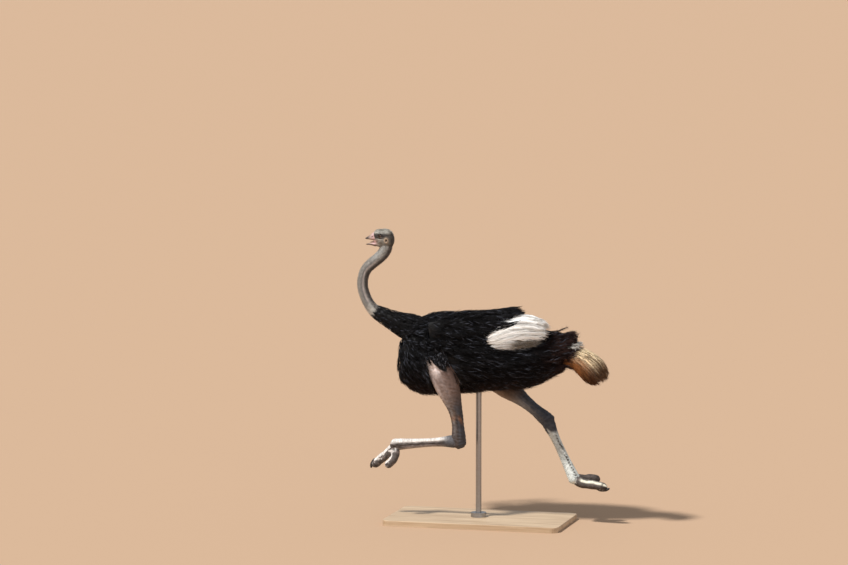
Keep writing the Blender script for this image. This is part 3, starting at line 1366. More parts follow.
def in_thigh(points, ease_in=0.0, hidden=0.0):
    """True where a thigh's bare skin shows, seen from the side. Black feathers cover its upper hind part."""
    inside = np.zeros(len(points), bool)
    for word, side in SIDES.items():
        rows = np.array(SHANKS[word])
        start, end = rows[1, [0, 2]], rows[-2, [0, 2]]
        length = np.hypot(*(end - start))
        down = (end - start) / length
        share = ((points[:, 0] - start[0]) * down[0] + (points[:, 2] - start[1]) * down[1]) / length
        found = smooth_rows(SHANKS[word], np.clip(share, 0.0, 1.0))
        behind = (points[:, 0] - found[:, 0]) * -down[1] + (points[:, 2] - found[:, 2]) * down[0]
        depth = found[:, 4] - ease_in
        shows = (share > np.interp(behind, *BARE_FROM)) & (share < 0.7)
        inside |= shows & (behind > -depth) & (behind < depth - hidden) & (points[:, 1] * side > 0.09)
    return inside


def in_white(points, slack):
    """True where the white wing plumes show, seen from the side."""
    inside = np.zeros(len(points), bool)
    for word, side in SIDES.items():
        x, z = points[:, 0] - WING_SHIFT[word], points[:, 2] - WING_SHIFT[word]
        behind_front = (x > np.interp(z, *WHITE_FRONT) + slack) & (x < 0.455)
        above_lower = z > np.interp(x, *WHITE_BELOW) + slack
        inside |= behind_front & above_lower & (points[:, 1] * side > 0.075)
    return inside


def shortened(lengths, stations, barred):
    """Each length, cut at the first of its stations that is barred."""
    count, stops = stations.shape[:2]
    hit = barred.reshape(count, stops)
    first = np.where(hit.any(axis=1), hit.argmax(axis=1), stops - 1 + 0.5)
    return lengths * np.clip((first - 0.5) / (stops - 1), 0.0, 1.0)


def body_way(points):
    """The lie of the plumage on the body and wings."""
    x, y, z = points.T
    way = layered(
        (1.0, 0.0, -0.16),
        ((1.0, 0.0, -0.42), 1 - ease(z, 0.98, 1.20)),
        ((0.42, 0.0, -0.90), (1 - ease(x, -0.50, -0.30)) * (1 - ease(z, 1.15, 1.30))),
        ((1.0, 0.0, 0.03), ease(z, 1.32, 1.40)),
    )
    fan = np.column_stack([np.full(len(x), 0.8), y * 1.6, (z - 1.13) * 3.2])
    return unit(mixed(way, unit(fan), ease(x, 0.36, 0.52)))


def neck_way(points):
    """The lie of the feathers on the neck's base, from the head towards the body."""
    share, _ = nearest_share(NECK_ROWS, points, 60)
    down = unit(-heading(NECK_ROWS, share, 0.02))
    return unit(mixed(down, (0.9, 0.0, -0.35), 1 - ease(share, 0.02, 0.14)))


def sprout(coat, guide, points, lengths, half_width, reach, tints, look, way_at=body_way, bar=True, hold=0.85):
    """Feathers from the points, lying along the body. bar keeps them off the thighs and the white plumes."""
    near, _ = guide.nearest(points)
    keep = np.linalg.norm(near - points, axis=1) < 0.016
    if bar:
        slack = rng.uniform(-0.012, 0.016, len(points))
        keep &= ~in_thigh(points, 0.004, 0.022) & ~in_white(points, slack)
    arrays = (points, lengths, half_width, reach, tints)
    points, lengths, half_width, reach, tints = (array[keep] for array in arrays)
    swerve = rng.normal(0.0, 0.13, (len(points), 3))
    stations, ups = guide.walk(points, lengths, reach, lambda found: unit(way_at(found) + swerve), hold)
    if bar:
        slack = np.repeat(rng.uniform(-0.004, 0.020, len(points)), stations.shape[1])
        places = stations.reshape(-1, 3)
        short = shortened(lengths, stations, in_thigh(places, 0.006, 0.022) | in_white(places, slack))
        keep = short > 0.022
        changed = keep & (short < lengths * 0.99)
        lengths = np.where(changed, short, lengths)
        if changed.any():
            again, aside = (points[changed], lengths[changed], reach[changed]), swerve[changed]
            walked = guide.walk(*again, lambda found: unit(way_at(found) + aside), hold)
            stations[changed], ups[changed] = walked
        half_width = np.minimum(half_width, lengths * 0.40)
        arrays = (points, lengths, half_width, tints, stations, ups)
        points, lengths, half_width, tints, stations, ups = (array[keep] for array in arrays)
    add_feathers(coat, stations, ups, half_width, tints, body_map(points), look, lengths)


def varied(tint, low, high, many):
    """The tint for each of many feathers, made darker or lighter by chance."""
    return np.asarray(tint) * rng.uniform(low, high, many)[:, None]


def black_tints(points):
    """Matt black, a little blue on the back and red-brown towards the belly and rump."""
    x, _, z = points.T
    tint = layered(
        (0.0042, 0.0040, 0.0048),
        ((0.0120, 0.0068, 0.0060), 0.7 * (1 - ease(z, 0.95, 1.15))),
        ((0.0300, 0.0140, 0.0120), 0.7 * ease(x, 0.28, 0.48) * (1 - ease(z, 1.20, 1.30))),
    )
    return varied(tint, 0.7, 1.4, len(points))


def build_body_coat(guide, finish):
    """The trunk, in pieces from front to back."""
    at_front, _, front, _, _ = spread(TRUNK_ROWS, 0.0215, 0.0, 0.22, True, coat_inset)
    facing = at_front < 0.09
    front[facing], _ = guide.nearest(front[facing])
    at_rest, _, rest, _, _ = spread(TRUNK_ROWS, 0.0280, 0.20, 0.985, True, coat_inset)
    at, points = np.concatenate([at_front, at_rest]), np.vstack([front, rest])
    x, _, z = points.T
    lengths = np.interp(x, (-0.60, -0.40, -0.10, 0.30, 0.60), (0.080, 0.105, 0.165, 0.185, 0.150))
    lengths = lengths * np.interp(z, (0.90, 1.10, 1.36), (0.75, 0.95, 1.10)) * rng.uniform(0.8, 1.25, len(x))
    half_width = np.interp(x, (-0.60, -0.30, 0.10), (0.024, 0.030, 0.036))
    fuller = np.interp(x, (-0.50, -0.30), (1.35, 1.0))
    reach = coat_depth(at) * rng.uniform(0.5, 1.0, len(x)) * fuller
    loose = (z < 1.00) | (x > 0.36)
    for name, (low, high) in COAT_PARTS.items():
        coat = Coat()
        for group, look, hold in ((~loose, PLUME_BLACK, 0.85), (loose, PLUME_RAGGED, 0.45)):
            here = (x >= low) & (x < high) & group
            if here.any():
                growth = (array[here] for array in (points, lengths, half_width, reach))
                sprout(coat, guide, *growth, black_tints(points[here]), look, hold=hold)
        coat.piece(f"coat_{name}", finish, "plumage_black", "trunk")


def build_wing_coat(guide, finish, word):
    coat, middle = Coat(), OUTWARD[word]
    arc = (middle - 2.95, middle + 2.95)
    at, _, points, _, _ = spread(wing_rows(WING, word), 0.0260, 0.0, 0.97, False, -0.030, arc)
    facing = at < 0.20
    points[facing], _ = guide.nearest(points[facing])
    x = points[:, 0]
    lengths = np.interp(x, (-0.42, -0.30, 0.0, 0.3), (0.070, 0.110, 0.190, 0.200))
    lengths = lengths * rng.uniform(0.8, 1.2, len(x))
    half_width = np.interp(x, (-0.42, -0.10), (0.020, 0.034))
    reach = 0.034 * rng.uniform(0.6, 1.05, len(x))
    sprout(coat, guide, points, lengths, half_width, reach, black_tints(points), PLUME_BLACK)
    coat.piece(f"coat_wing_{word}", finish, "plumage_black", f"wing_{word}")


def loft_stations(rows, at, turn, lift):
    """Stations along a loft: at and turn are pairs of arrays, from root to tip, and lift is a function."""
    u = np.linspace(0.0, 1.0, STATIONS)[None, :]
    where, angle = (pair[0][:, None] + (pair[1] - pair[0])[:, None] * u for pair in (at, turn))
    raised = np.broadcast_to(lift(u), where.shape)
    points, normals, _ = loft_frames(rows, np.clip(where, 0, 1).ravel(), angle.ravel(), False, raised.ravel())
    return points.reshape(*where.shape, 3), normals.reshape(*where.shape, 3)


def straight(first, last, arch):
    """Stations from the first points to the last, arched up by arch at their middle."""
    u = np.linspace(0.0, 1.0, STATIONS)[None, :, None]
    stations = first[:, None] + (last - first)[:, None] * u + UP * (arch * np.sin(math.pi * u))
    ways = unit(np.gradient(stations, axis=1))
    return stations, flat_to(np.broadcast_to(UP, stations.shape), ways)


def turned(word, angle):
    """The angle round a wing's loft, counted up from straight outward."""
    return OUTWARD[word] + SIDES[word] * angle


def build_tertials(finish, word):
    """The black tuft over the white plumes, with a blunt, brush-like end."""
    rows, coat, many = wing_rows(WING, word), Coat(), 40
    spot = rng.uniform(0.0, 1.0, many)
    turn, turn_end = turned(word, 0.75 + 1.35 * spot), turned(word, 0.15 + 1.75 * spot)
    start, end = rng.uniform(0.48, 0.72, many), rng.uniform(0.92, 0.985, many)
    depth = rng.uniform(-0.014, 0.006, many)[:, None]
    stations, ups = loft_stations(rows, (start, end), (turn, turn_end), lambda u: depth - 0.014 * (1 - u))
    look = PLUME_BLACK | {"open": (15, 5), "barbs": 18, "fluff": 0.003}
    tints = varied((0.0070, 0.0068, 0.0080), 0.7, 1.3, many)
    add_feathers(coat, stations, ups, 0.017, tints, loft_map(start, turn), look)
    many = 16
    spot = rng.uniform(-1.0, 1.0, many)
    turn, turn_end = turned(word, 0.30 + 0.45 * spot), turned(word, -0.45 + 0.10 * spot)
    start, end = rng.uniform(0.52, 0.68, many), 0.94 - 0.06 * np.abs(spot) - rng.uniform(0.0, 0.03, many)
    turns = (turn, turn_end)
    stations, ups = loft_stations(rows, (start, end), turns, lambda u: 0.030 * ease(u, 0.2, 0.9) - 0.010)
    tints = np.tile((0.0056, 0.0053, 0.0063), (many, 1))
    look = look | {"barbs": 14, "open": (14, 5)}
    add_feathers(coat, stations, ups, 0.010, tints, loft_map(start, turn), look)
    coat.piece(f"coat_tertials_{word}", finish, "plumage_black", f"wing_{word}")


def build_white_plumes(finish, word):
    """A wing's white plumes. The lower ones are thin wisps with brown ends."""
    rows, coat, many = wing_rows(WING_PLUMES, word), Coat(), 37
    fan = np.linspace(-1.85, 2.45, many) + rng.uniform(-0.06, 0.06, many)
    turn = turned(word, fan)
    start, end = rng.uniform(0.0, 0.12, many), rng.uniform(0.80, 0.94, many)
    depth = np.where(np.arange(many) % 3 == 0, -0.003, -0.012)[:, None]
    turns = (turn, turn + SIDES[word] * 0.10)
    stations, ups = loft_stations(rows, (start, end), turns, lambda u: depth - 0.010 * (1 - ease(u, 0, 0.3)))
    lower = fan < -0.40
    for group, look, width in ((~lower, PLUME_WHITE, 0.034), (lower, WISPS, 0.028)):
        tints = np.tile((0.97, 0.96, 0.93), (int(group.sum()), 1))
        add_feathers(coat, stations[group], ups[group], width, tints, loft_map(start, turn)[group], look)
    coat.piece(f"plumes_wing_{word}", finish, "plumage_white", f"wing_plumes_{word}")


def build_tail(finish):
    """The tail's curved plumes, buff above and rusty below, and the fluff over its root."""
    coat, many = Coat(), 56
    turn = np.linspace(0, 2 * math.pi, many, endpoint=False) + rng.uniform(-0.06, 0.06, many)
    start, end = rng.uniform(0.0, 0.18, many), rng.uniform(0.88, 0.95, many)
    depth = np.where(np.arange(many) % 2 == 0, -0.005, -0.022)[:, None]
    stations, ups = loft_stations(TAIL_ROWS, (start, end), (turn, turn), lambda u: depth - 0.012 * (1 - u))
    tints = mixed((0.30, 0.110, 0.032), (0.84, 0.67, 0.44), ease(np.sin(turn), -0.15, 0.60))
    add_feathers(coat, stations, ups, 0.028, tints, loft_map(start, turn), PLUME_BUFF)
    many = 26
    x, y = rng.uniform(0.555, 0.600, many), rng.uniform(-0.055, 0.055, many)
    first = np.column_stack([x, y, np.full(many, 1.185)])
    last = np.column_stack([rng.uniform(0.655, 0.690, many), y * 1.4, rng.uniform(1.195, 1.225, many)])
    stations, ups = straight(first, last, 0.012)
    tints = varied((0.74, 0.71, 0.66), 0.7, 1.05, many)
    add_feathers(coat, stations, ups, 0.018, tints, body_map(first), TAIL_FLUFF)
    coat.piece("coat_tail", finish, "plumage_buff", "tail")


def build_coverts(guide, finish):
    """The rump's loose black feathers, which stand out in a spiky fan over the tail's root."""
    coat = Coat()
    _, _, points, _, _ = spread(COVERT_ROWS, 0.030, 0.02, 0.95, False, -0.040)
    points = points[points[:, 0] > 0.43]
    count = len(points)
    lengths = 0.100 * rng.uniform(0.75, 1.2, count) * np.interp(points[:, 2], (1.05, 1.30), (0.95, 1.0))
    reach = 0.040 * rng.uniform(0.6, 1.1, count)
    look = PLUME_BLACK | {"tip": (0.045, 0.020, 0.015), "tip_amount": 0.55, "fluff": 0.007, "open": (36, 10)}
    growth = (points, lengths, np.full(count, 0.028), reach, black_tints(points))
    sprout(coat, guide, *growth, look, hold=0.15, bar=False)
    for many, width, aside, *ends in SPIKES:
        first, last = (
            np.column_stack([np.full(many, x), rng.uniform(-1, 1, many) * half, rng.uniform(*heights, many)])
            for x, half, *heights in ends
        )
        first[:, 1] += aside
        last[:, 1] += aside
        last[:, 0] -= rng.uniform(0.0, 0.024, many)
        stations, ups = straight(first, last, 0.004)
        add_feathers(coat, stations, ups, width, black_tints(first), body_map(first), look)
    coat.piece("coat_coverts", finish, "plumage_black", "tail_coverts")


def build_neck_base(guide, finish):
    coat = Coat()
    at, angle, _, _, _ = spread(NECK_ROWS, 0.0155, 0.03, 0.402, False, -0.016)
    lengths = np.interp(at, (0.0, 0.30, 0.40), (0.095, 0.048, 0.022)) * rng.uniform(0.8, 1.2, len(at))
    reach = np.interp(at, (0.0, 0.20, 0.40), (0.030, 0.016, 0.004)) * rng.uniform(0.7, 1.1, len(at))
    look = PLUME_BLACK | {"barbs": 5, "barb": 0.0015, "fluff": 0.0025, "glint_share": 0.05}
    half_width = np.interp(at, (0.0, 0.35), (0.022, 0.010))
    points = on_loft(NECK_ROWS, at, angle, False, np.interp(at, (0.0, 0.35), (-0.030, -0.003)))
    tints = varied((0.0070, 0.0066, 0.0074), 0.7, 1.4, len(at))
    sprout(coat, guide, points, lengths, half_width, reach, tints, look, way_at=neck_way, bar=False)
    coat.piece("coat_neck_base", finish, "plumage_black", "neck_base")


def build_thigh_patch(guide, finish, word):
    """The tongue of black feathers that falls across the top of the thigh."""
    coat, many = Coat(), 90
    start, end = np.array(PATCH_LINES[word])
    share = rng.uniform(0.0, 1.0, many)[:, None]
    back = rng.uniform(-0.02, 0.02, (many, 1))
    first = start[0] + (start[1] - start[0]) * share + back * np.array([0.3, 0, 1.0])
    last = end[0] + (end[1] - end[0]) * share
    first[:, 1] *= SIDES[word]
    last[:, 1] *= SIDES[word]
    way = unit(last - first)
    lengths = np.linalg.norm(last - first, axis=1) * rng.uniform(0.75, 1.05, many)
    reach = 0.016 * rng.uniform(0.4, 1.2, many)
    stations, ups = guide.walk(first, lengths, reach, lambda found: way)
    look = PLUME_BLACK | {"open": (26, 8), "barbs": 12, "glint": (0.22, 0.23, 0.27), "glint_share": 0.15}
    tints = varied((0.0080, 0.0078, 0.0098), 0.7, 1.5, many)
    add_feathers(coat, stations, ups, 0.014, tints, body_map(first), look, lengths)
    coat.piece(f"coat_thigh_{word}", finish, "plumage_black", "trunk", f"thigh_{word}")


def build_neck_down(finish):
    """Short, sparse strands on the bare neck."""
    coat, found = Coat(), spread(NECK_ROWS, 0.0056, 0.375, 0.985, False, -0.0018)
    on_head = (found[2][:, 2] > 1.84) & (found[2][:, 0] < -0.60)
    at, angle, points, normals, along = (array[~on_head] for array in found)
    count = len(at)
    length = np.interp(at, (0.375, 0.44, 1.0), (0.020, 0.013, 0.010)) * rng.uniform(0.6, 1.3, count)
    rise = np.interp(at, (0.375, 0.44, 1.0), (0.0055, 0.0032, 0.0028)) * rng.uniform(0.5, 1.3, count)
    tint = varied(neck_tint(points, at, np.sin(angle)), 0.65, 1.25, count)
    pale = rng.uniform(size=count) < np.interp(at, (0.375, 0.44, 0.5), (0.75, 0.5, 0.06))
    tint = np.where(pale[:, None], (0.46, 0.43, 0.38), tint)
    dark_root = rng.uniform(size=count) > np.interp(at, (0.375, 0.400), (0.0, 1.0))
    tint = np.where(dark_root[:, None], (0.02, 0.018, 0.018), tint)
    add_down(coat, points, normals, -along, length, rise, tint, loft_map(at, angle))
    coat.piece("down_neck", finish, "bare_skin", "neck_lower", "neck_middle", "neck_upper")


def build_head_down(finish):
    """Short, sparse strands on the head, smallest on the face, and the lashes."""
    coat, found = Coat(), spread(HEAD_ROWS, 0.0044, 0.06, 0.97, True, -0.0008)
    points = found[2]
    bare = near_eye(points, 0.0245) & (np.abs(points[:, 1]) > 0.02)
    for side in SIDES.values():
        bare |= ear_measure(points, side) < 1.0
    bare |= (points[:, 0] < -0.705) & (np.abs(points[:, 2] - 1.863) < 0.012)
    inside_neck = nearest_share(NECK_ROWS, points, 60)[1] < 0.9
    at, angle, points, normals, along = (array[~bare & ~inside_neck] for array in found)
    count = len(at)
    crown = ease(points[:, 2], 1.90, 1.94)
    length = 0.0055 + 0.0075 * crown + 0.003 * ease(points[:, 0], -0.70, -0.62)
    length = length * rng.uniform(0.6, 1.3, count)
    rise = (0.0010 + 0.0026 * crown) * rng.uniform(0.5, 1.4, count)
    tint = mixed(head_tint(points), (0.50, 0.47, 0.40), crown * rng.uniform(0.0, 0.8, count))
    add_down(coat, points, normals, along, length, rise, varied(tint, 0.55, 1.3, count), loft_map(at, angle))
    add_lashes(coat)
    coat.piece("down_head", finish, "bare_skin", "head", "ear_left", "ear_right")


def add_down(coat, points, normals, ways, lengths, rises, tints, maps):
    """Single strands, each curving away from the skin."""
    q = np.linspace(0.0, 1.0, 4)[None, :, None]
    way = unit(ways + np.cross(ways, normals) * rng.normal(0, 0.22, len(points))[:, None])
    lines = points[:, None, :] + way[:, None, :] * (q * lengths[:, None, None])
    lines = lines + normals[:, None, :] * (rises[:, None, None] * np.sin(q * 1.9))
    half_widths = np.array([0.9, 1.0, 0.7, 0.0]) * 0.00052 * rng.uniform(0.7, 1.4, (len(points), 1))
    wide = unit(np.cross(normals, way))
    wide, raised, tint = (np.repeat(array[:, None], 4, axis=1) for array in (wide, normals, tints))
    place = np.concatenate([np.zeros_like(q), q - 0.5], axis=2) * PATCH
    coat.add(lines, wide, raised, half_widths, tint, maps[:, None, :] + place)


def lid_rim(side, at, swell=0.0):
    """Points on the rim of the eyelids' opening, on the eyeball grown by swell."""
    along = np.sign(np.cos(at)) * np.abs(np.cos(at)) ** (2 / 1.7) * LID_HALF_LENGTH
    above = np.sin(at) * LID_HALF_HEIGHT
    out = np.sqrt(np.maximum((EYE_RADIUS + swell) ** 2 - along**2 - above**2, 1e-8))
    x = along * math.cos(EYE_TILT) - above * math.sin(EYE_TILT)
    z = above * math.cos(EYE_TILT) + along * math.sin(EYE_TILT)
    return np.column_stack([EYE_CENTRE[0] + x, side * (EYE_CENTRE[1] + out), EYE_CENTRE[2] + z])


def add_lashes(coat):
    many = 34
    at = np.linspace(0.25, math.pi - 0.15, many)
    for side in SIDES.values():
        root = lid_rim(side, at, LID_THICK)
        out = unit(root - eye_centre(side))
        way = unit(out * 0.9 + UP * 0.25 + np.array([-0.25, 0, 0]) * -np.cos(at)[:, None])
        lengths = 0.0085 * rng.uniform(0.8, 1.2, many)
        tints = np.tile((0.012, 0.010, 0.009), (many, 1))
        maps = np.column_stack([np.full(many, 0.5 + 0.2 * side), 0.3 + 0.02 * at])
        add_down(coat, root, UP * 0.9 + out * 0.1, way, lengths, np.full(many, 0.0028), tints, maps)


# ---------------------------------------------------------------- eyes, bill, claws and scutes

IRIS_BROWN, PUPIL_BLACK, LIMBUS_DARK = (0.070, 0.034, 0.015), (0.002, 0.002, 0.002), (0.030, 0.024, 0.022)
LID_DARK, CLAW_DARK = (0.050, 0.040, 0.038), (0.030, 0.026, 0.024)
BILL_ROSE, BILL_TAN, BILL_TIP = (0.52, 0.33, 0.32), (0.42, 0.30, 0.26), (0.026, 0.020, 0.018)
BILL_EDGE, NOSTRIL_BLACK = (0.040, 0.027, 0.023), (0.012, 0.008, 0.007)
TONGUE = [
    (-0.700, 0.0, 1.8590, 0.012, 0.0030, 0.0030),
    (-0.720, 0.0, 1.8600, 0.014, 0.0035, 0.0030),
    (-0.742, 0.0, 1.8585, 0.011, 0.0030, 0.0030),
    (-0.757, 0.0, 1.8560, 0.005, 0.0016, 0.0016),
]
SCUTES = [  # part, edges of the plates, half the arc that they cover, and how far they stand out
    ("tarsus", np.linspace(0.12, 0.985, 35), lambda share: 0.95 + 0.15 * math.sin(math.pi * share), 0.0016),
    ("toe_inner", np.linspace(0.10, 0.80, 27), lambda share: 1.05, 0.0014),
    ("toe_outer", np.linspace(0.14, 0.90, 19), lambda share: 1.00, 0.0012),
]


def build_eyeball(word, finish):
    """A ball with a bulging cornea and a painted iris, turned a little forward."""
    made = bmesh.new()
    bmesh.ops.create_uvsphere(made, u_segments=72, v_segments=48, radius=EYE_RADIUS)
    gaze = unit(np.array([-0.26, SIDES[word], 0.02]))
    turn = Vector((0, 0, 1)).rotation_difference(Vector(gaze))
    centre = Vector(eye_centre(SIDES[word]))
    tints = []
    for vert in made.verts:
        off = vert.co.z / EYE_RADIUS
        reach = math.sqrt(max(1 - off * off, 0.0)) * EYE_RADIUS if off > 0 else EYE_RADIUS
        vert.co *= 1 + 0.055 * float(1 - ease(reach, 0.006, 0.0150))
        spokes = 1 + 0.25 * math.sin(17 * math.atan2(vert.co.y, vert.co.x)) if reach > 1e-5 else 1.0
        pupil = float(1 - ease(reach, 0.0064, 0.0072))
        limbus = float(ease(reach, 0.0118, 0.0132))
        shade = np.array(IRIS_BROWN) * spokes * (1 - pupil) + np.array(PUPIL_BLACK) * pupil
        tints.append(shade * (1 - limbus) + np.array(LIMBUS_DARK) * limbus)
        vert.co = turn @ vert.co + centre
    mesh = bpy.data.meshes.new(f"eyeball_{word}")
    made.to_mesh(mesh)
    made.free()
    mesh.shade_smooth()
    add_piece(f"eyeball_{word}", mesh, tints, finish, "eye_gloss", f"eye_{word}")


def build_lid_rim(word, finish):
    """A thin ring along the edge of the eyelids."""
    side, name, many, round_it, radius = SIDES[word], f"lid_rim_{word}", 72, 8, 0.0013
    middle = lid_rim(side, np.arange(many) * 2 * math.pi / many, 0.0010)
    out = unit(middle - eye_centre(side))
    across = np.cross(out, unit(np.roll(middle, -1, axis=0) - np.roll(middle, 1, axis=0)))
    ring = np.arange(round_it) * 2 * math.pi / round_it
    rise, reach = (np.cos(ring) * radius)[:, None], (np.sin(ring) * radius * 1.3)[:, None]
    points = middle[:, None] + out[:, None] * rise + across[:, None] * reach
    i, j = np.meshgrid(np.arange(many), np.arange(round_it), indexing="ij")
    here, ahead, onward = i * round_it, ((i + 1) % many) * round_it, (j + 1) % round_it
    faces = np.stack([here + j, here + onward, ahead + onward, ahead + j], axis=-1).reshape(-1, 4)
    if side < 0:
        faces = faces[:, ::-1]
    add_piece(name, mesh_from(name, points.reshape(-1, 3), faces), LID_DARK, finish, "bare_skin")


def build_bill(finish, pink):
    """The bill's two halves, with the nostril and the nail on the upper one, and the tongue."""
    for name, table, widest in (("upper", BILL_UPPER, 0.30), ("lower", BILL_LOWER, 0.62)):
        mesh = loft_surface(f"bill_horn_{name}", upright_rows(table, widest), 100, 96, True)
        points, normals = arrays_of(mesh)
        x, _, z = points.T
        lift = 0.0003 * waves(points, 0.009, 21)
        if name == "upper":
            level = 1.8955 + 0.30 * (x + 0.730)
            nostril = ((x + 0.7365) / 0.0092) ** 2 + ((z - level) / 0.0032) ** 2
            lift -= 0.0026 * np.exp(-(nostril**1.5)) * (np.abs(normals[:, 1]) > 0.35)
            nail = bell(x + 0.7700, 0.0022) * ease(normals[:, 2], 0.0, 0.6)
            lift -= 0.0007 * nail
            edge = (1 - ease(z - 0.115 * (-x - 0.738), 1.8730, 1.8790)) * ease(-x, 0.712, 0.734)
        else:
            nostril = np.full(len(x), 9.0)
            edge = ease(-normals[:, 2], 0.1, 0.6) * ease(-x, 0.694, 0.708)
            inward = ease(x, -0.724, -0.702)[:, None]
            points = points * (1 - inward * (0, 0.16, 0.34)) + inward * (0, 0, 0.34 * 1.852)
        put_points(mesh, points + normals * lift[:, None])
        tints = layered(
            BILL_ROSE,
            (BILL_TAN, ease(-x, 0.725, 0.755)),
            (BILL_TIP, 0.94 * ease(-x, 0.742, 0.776)),
            (BILL_EDGE, 0.90 * edge),
            (NOSTRIL_BLACK, 1 - ease(nostril, 0.5, 1.3)),
        )
        add_piece(f"bill_horn_{name}", mesh, tints, finish, "bill_horn", f"bill_{name}")
    add_piece("tongue", loft_surface("tongue", TONGUE, 30, 24), MOUTH_PINK, pink, "bare_skin")


def claw_rows(path, foot_top):
    length = sum(math.dist(first, second) for first, second in zip(path, path[1:], strict=False))
    onward = np.array(path[-1]) - np.array(path[-2])
    onward /= np.linalg.norm(onward)
    made = []
    for share, height, depth, width in CLAW:
        inside = smooth_rows(path, [min(share, 1.0)])[0]
        past = max(share - 1.0, 0.0) * length
        point = inside + onward * past + np.array(foot_top) * height
        made.append((*point, width, depth, depth))
    return made


def build_claw(word, finish):
    leg, name = LEGS[word], f"claw_horn_{word}"
    mesh = loft_surface(name, claw_rows(leg["toe_inner"], leg["foot_top"]), 50, 32, grow=0.0004)
    points, normals = arrays_of(mesh)
    put_points(mesh, points + normals * (0.00035 * waves(points, 0.006, 31))[:, None])
    tints = np.array(CLAW_DARK) * (1 + 0.5 * waves(points, 0.02, 32))[:, None]
    add_piece(name, mesh, np.maximum(tints, 0.008), finish, "claw_horn", f"claw_{word}")


def plate_shells(rows, edges, half_arc, lift, shades):
    """Closed, curved plates across the front of a limb, each lapping the next like a tile."""
    across, along = 11, 4
    many = across * along
    lean = np.linspace(0.0, 1.0, along)
    rim = 1 - np.abs(np.linspace(-1, 1, across)) ** 6
    fade = 1 - 0.45 * np.repeat(ease(lean, 0.75, 1.0), across)
    points, faces, tints = [], [], []
    for index, (first, last) in enumerate(zip(edges, edges[1:], strict=False)):
        span = last - first
        arc = half_arc(0.5 * (first + last)) * rng.uniform(0.94, 1.06)
        turn = BOTTOM + np.linspace(-arc, arc, across) + rng.uniform(-0.04, 0.04)
        share = np.linspace(first - 0.04 * span, last + 0.16 * span, along)
        at, angle = (grid.ravel() for grid in np.meshgrid(np.clip(share, 0, 1), turn, indexing="ij"))
        raised = lift * (0.25 + 0.75 * lean)[:, None] * rim[None, :]
        points += [on_loft(rows, at, angle, False, raised.ravel()), on_loft(rows, at, angle, False, -0.0012)]
        grid = np.arange(many).reshape(along, across) + 2 * many * index
        top = np.stack([grid[:-1, :-1], grid[:-1, 1:], grid[1:, 1:], grid[1:, :-1]], axis=-1).reshape(-1, 4)
        loop = np.concatenate([grid[0, :], grid[1:, -1], grid[-1, -2::-1], grid[-2:0:-1, 0]])
        wall = np.stack([loop, loop + many, np.roll(loop, -1) + many, np.roll(loop, -1)], axis=-1)
        faces += [top, top[:, ::-1] + many, wall]
        tints.append(shades[index] * rng.uniform(0.82, 1.12) * np.concatenate([fade, fade * 0.5])[:, None])
    return np.vstack(points), np.vstack(faces), np.vstack(tints)


def build_scutes(word, finish):
    """The plates down the front of the tarsus and over the toes."""
    lofts, points, faces, tints = leg_lofts(word), [], [], []
    for part, edges, half_arc, lift in SCUTES:
        pale = LEG_PALE if word == "left" else LEG_BLUE if part == "tarsus" else TOE_BROWN
        dark = hock_tint(word) if part == "tarsus" else pale
        shades = mixed(dark, pale, ease(edges, *HOCK_ENDS[word]))
        found, quads, shown = plate_shells(lofts[part][0], edges, half_arc, lift, shades)
        faces.append(quads + sum(len(earlier) for earlier in points))
        points.append(found)
        tints.append(shown)
    mesh = face_out(mesh_from(f"scutes_{word}", np.vstack(points), np.vstack(faces)))
    mesh.set_sharp_from_angle(angle=math.radians(50))
    add_piece(f"scutes_{word}", mesh, np.vstack(tints), finish, "leg_scutes", f"tarsus_{word}")


# ---------------------------------------------------------------- the stand

OAK, STEEL = ((0.58, 0.43, 0.28), (0.40, 0.27, 0.16)), ((0.42, 0.42, 0.43), (0.30, 0.30, 0.31))  # light, dark


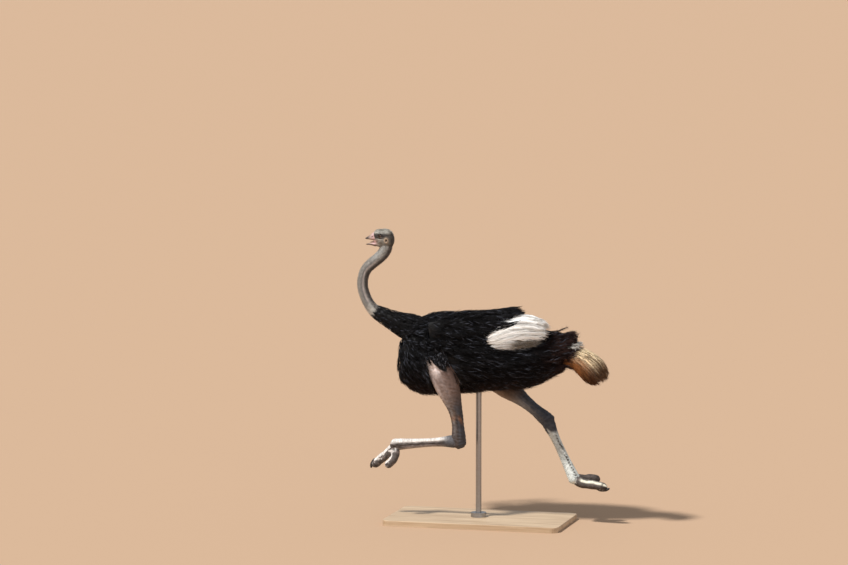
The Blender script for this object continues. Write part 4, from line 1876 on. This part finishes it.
def grain_material(name, light, dark, roughness, metallic, stretch, scale, bump):
    """A material with long grain: its noise is stretched and runs between two colours."""
    made = Finish(name, {"Roughness": roughness, "Metallic": metallic})
    where, ramp = made.add("TexCoord"), made.add("ValToRGB")
    stretched = made.add("Mapping", {"Scale": stretch})
    noise = made.add("TexNoise", {"Scale": scale, "Detail": 8.0, "Distortion": 0.6})
    raised = made.add("Bump", {"Distance": bump, "Strength": 0.6})
    for stop, position, colour in zip(ramp.color_ramp.elements, (0.34, 0.62), (dark, light), strict=True):
        stop.position, stop.color = position, (*colour, 1.0)
    made.link(where, "Object", stretched, "Vector")
    made.link(stretched, "Vector", noise, "Vector")
    made.link(noise, "Fac", ramp, "Fac")
    made.link(noise, "Fac", raised, "Height")
    made.link(ramp, "Color", made.shader, "Base Color")
    made.link(raised, "Normal", made.shader, "Normal")
    return made.material


def dress_stand():
    wood = grain_material("oak", *OAK, 0.45, 0.0, (0.6, 9.0, 9.0), 3.0, 0.0008)
    steel = grain_material("steel", *STEEL, 0.32, 1.0, (1.0, 1.0, 60.0), 12.0, 0.0002)
    for node, finish in (("stand_base", wood), ("stand_rod", steel), ("stand_collar", steel)):
        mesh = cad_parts[node].data
        mesh.materials.clear()
        mesh.materials.append(finish)


# ---------------------------------------------------------------- everything

build_camera()
build_floor()
build_light()
guide = Guide()
finish_skin(build_skin())
plumage = tinted_material("plumage_black", 0.58, 0.13, 0.0, 0.20, 30.0)
white_plumage = tinted_material("plumage_white", 0.70, 0.30, 0.6, 0.05, 25.0)
buff_plumage = tinted_material("plumage_buff", 0.75, 0.14, 0.05, 0.15, 25.0)
down = tinted_material("down", 0.75, 0.25, 0.2, 0.15, 60.0)
build_body_coat(guide, plumage)
build_coverts(guide, plumage)
build_neck_base(guide, plumage)
for word in SIDES:
    build_wing_coat(guide, plumage, word)
    build_tertials(plumage, word)
    build_white_plumes(white_plumage, word)
    build_thigh_patch(guide, plumage, word)
build_tail(buff_plumage)
build_neck_down(down)
build_head_down(down)
eye_finish = tinted_material("eye_gloss", 0.06, 0.6, 0.0, 0.10, 300.0)
lid_finish = tinted_material("lid_rim", 0.30, 0.5, 0.0, 0.10, 300.0)
horn = tinted_material("bill_horn", 0.42, 0.35, 0.0, 0.15, 110.0, (("noise", 260, 0.0006),))
mouth = tinted_material("mouth", 0.30, 0.5, 0.0, 0.15, 200.0, (("noise", 400, 0.0005),))
claw_finish = tinted_material("claw_horn", 0.45, 0.25, 0.0, 0.25, 90.0, (("noise", 200, 0.0008),))
scute_finish = tinted_material("leg_scutes", 0.50, 0.25, 0.0, 0.22, 70.0, (("noise", 240, 0.0008),))
build_bill(horn, mouth)
for word in SIDES:
    build_eyeball(word, eye_finish)
    build_lid_rim(word, lid_finish)
    build_claw(word, claw_finish)
    build_scutes(word, scute_finish)
dress_stand()
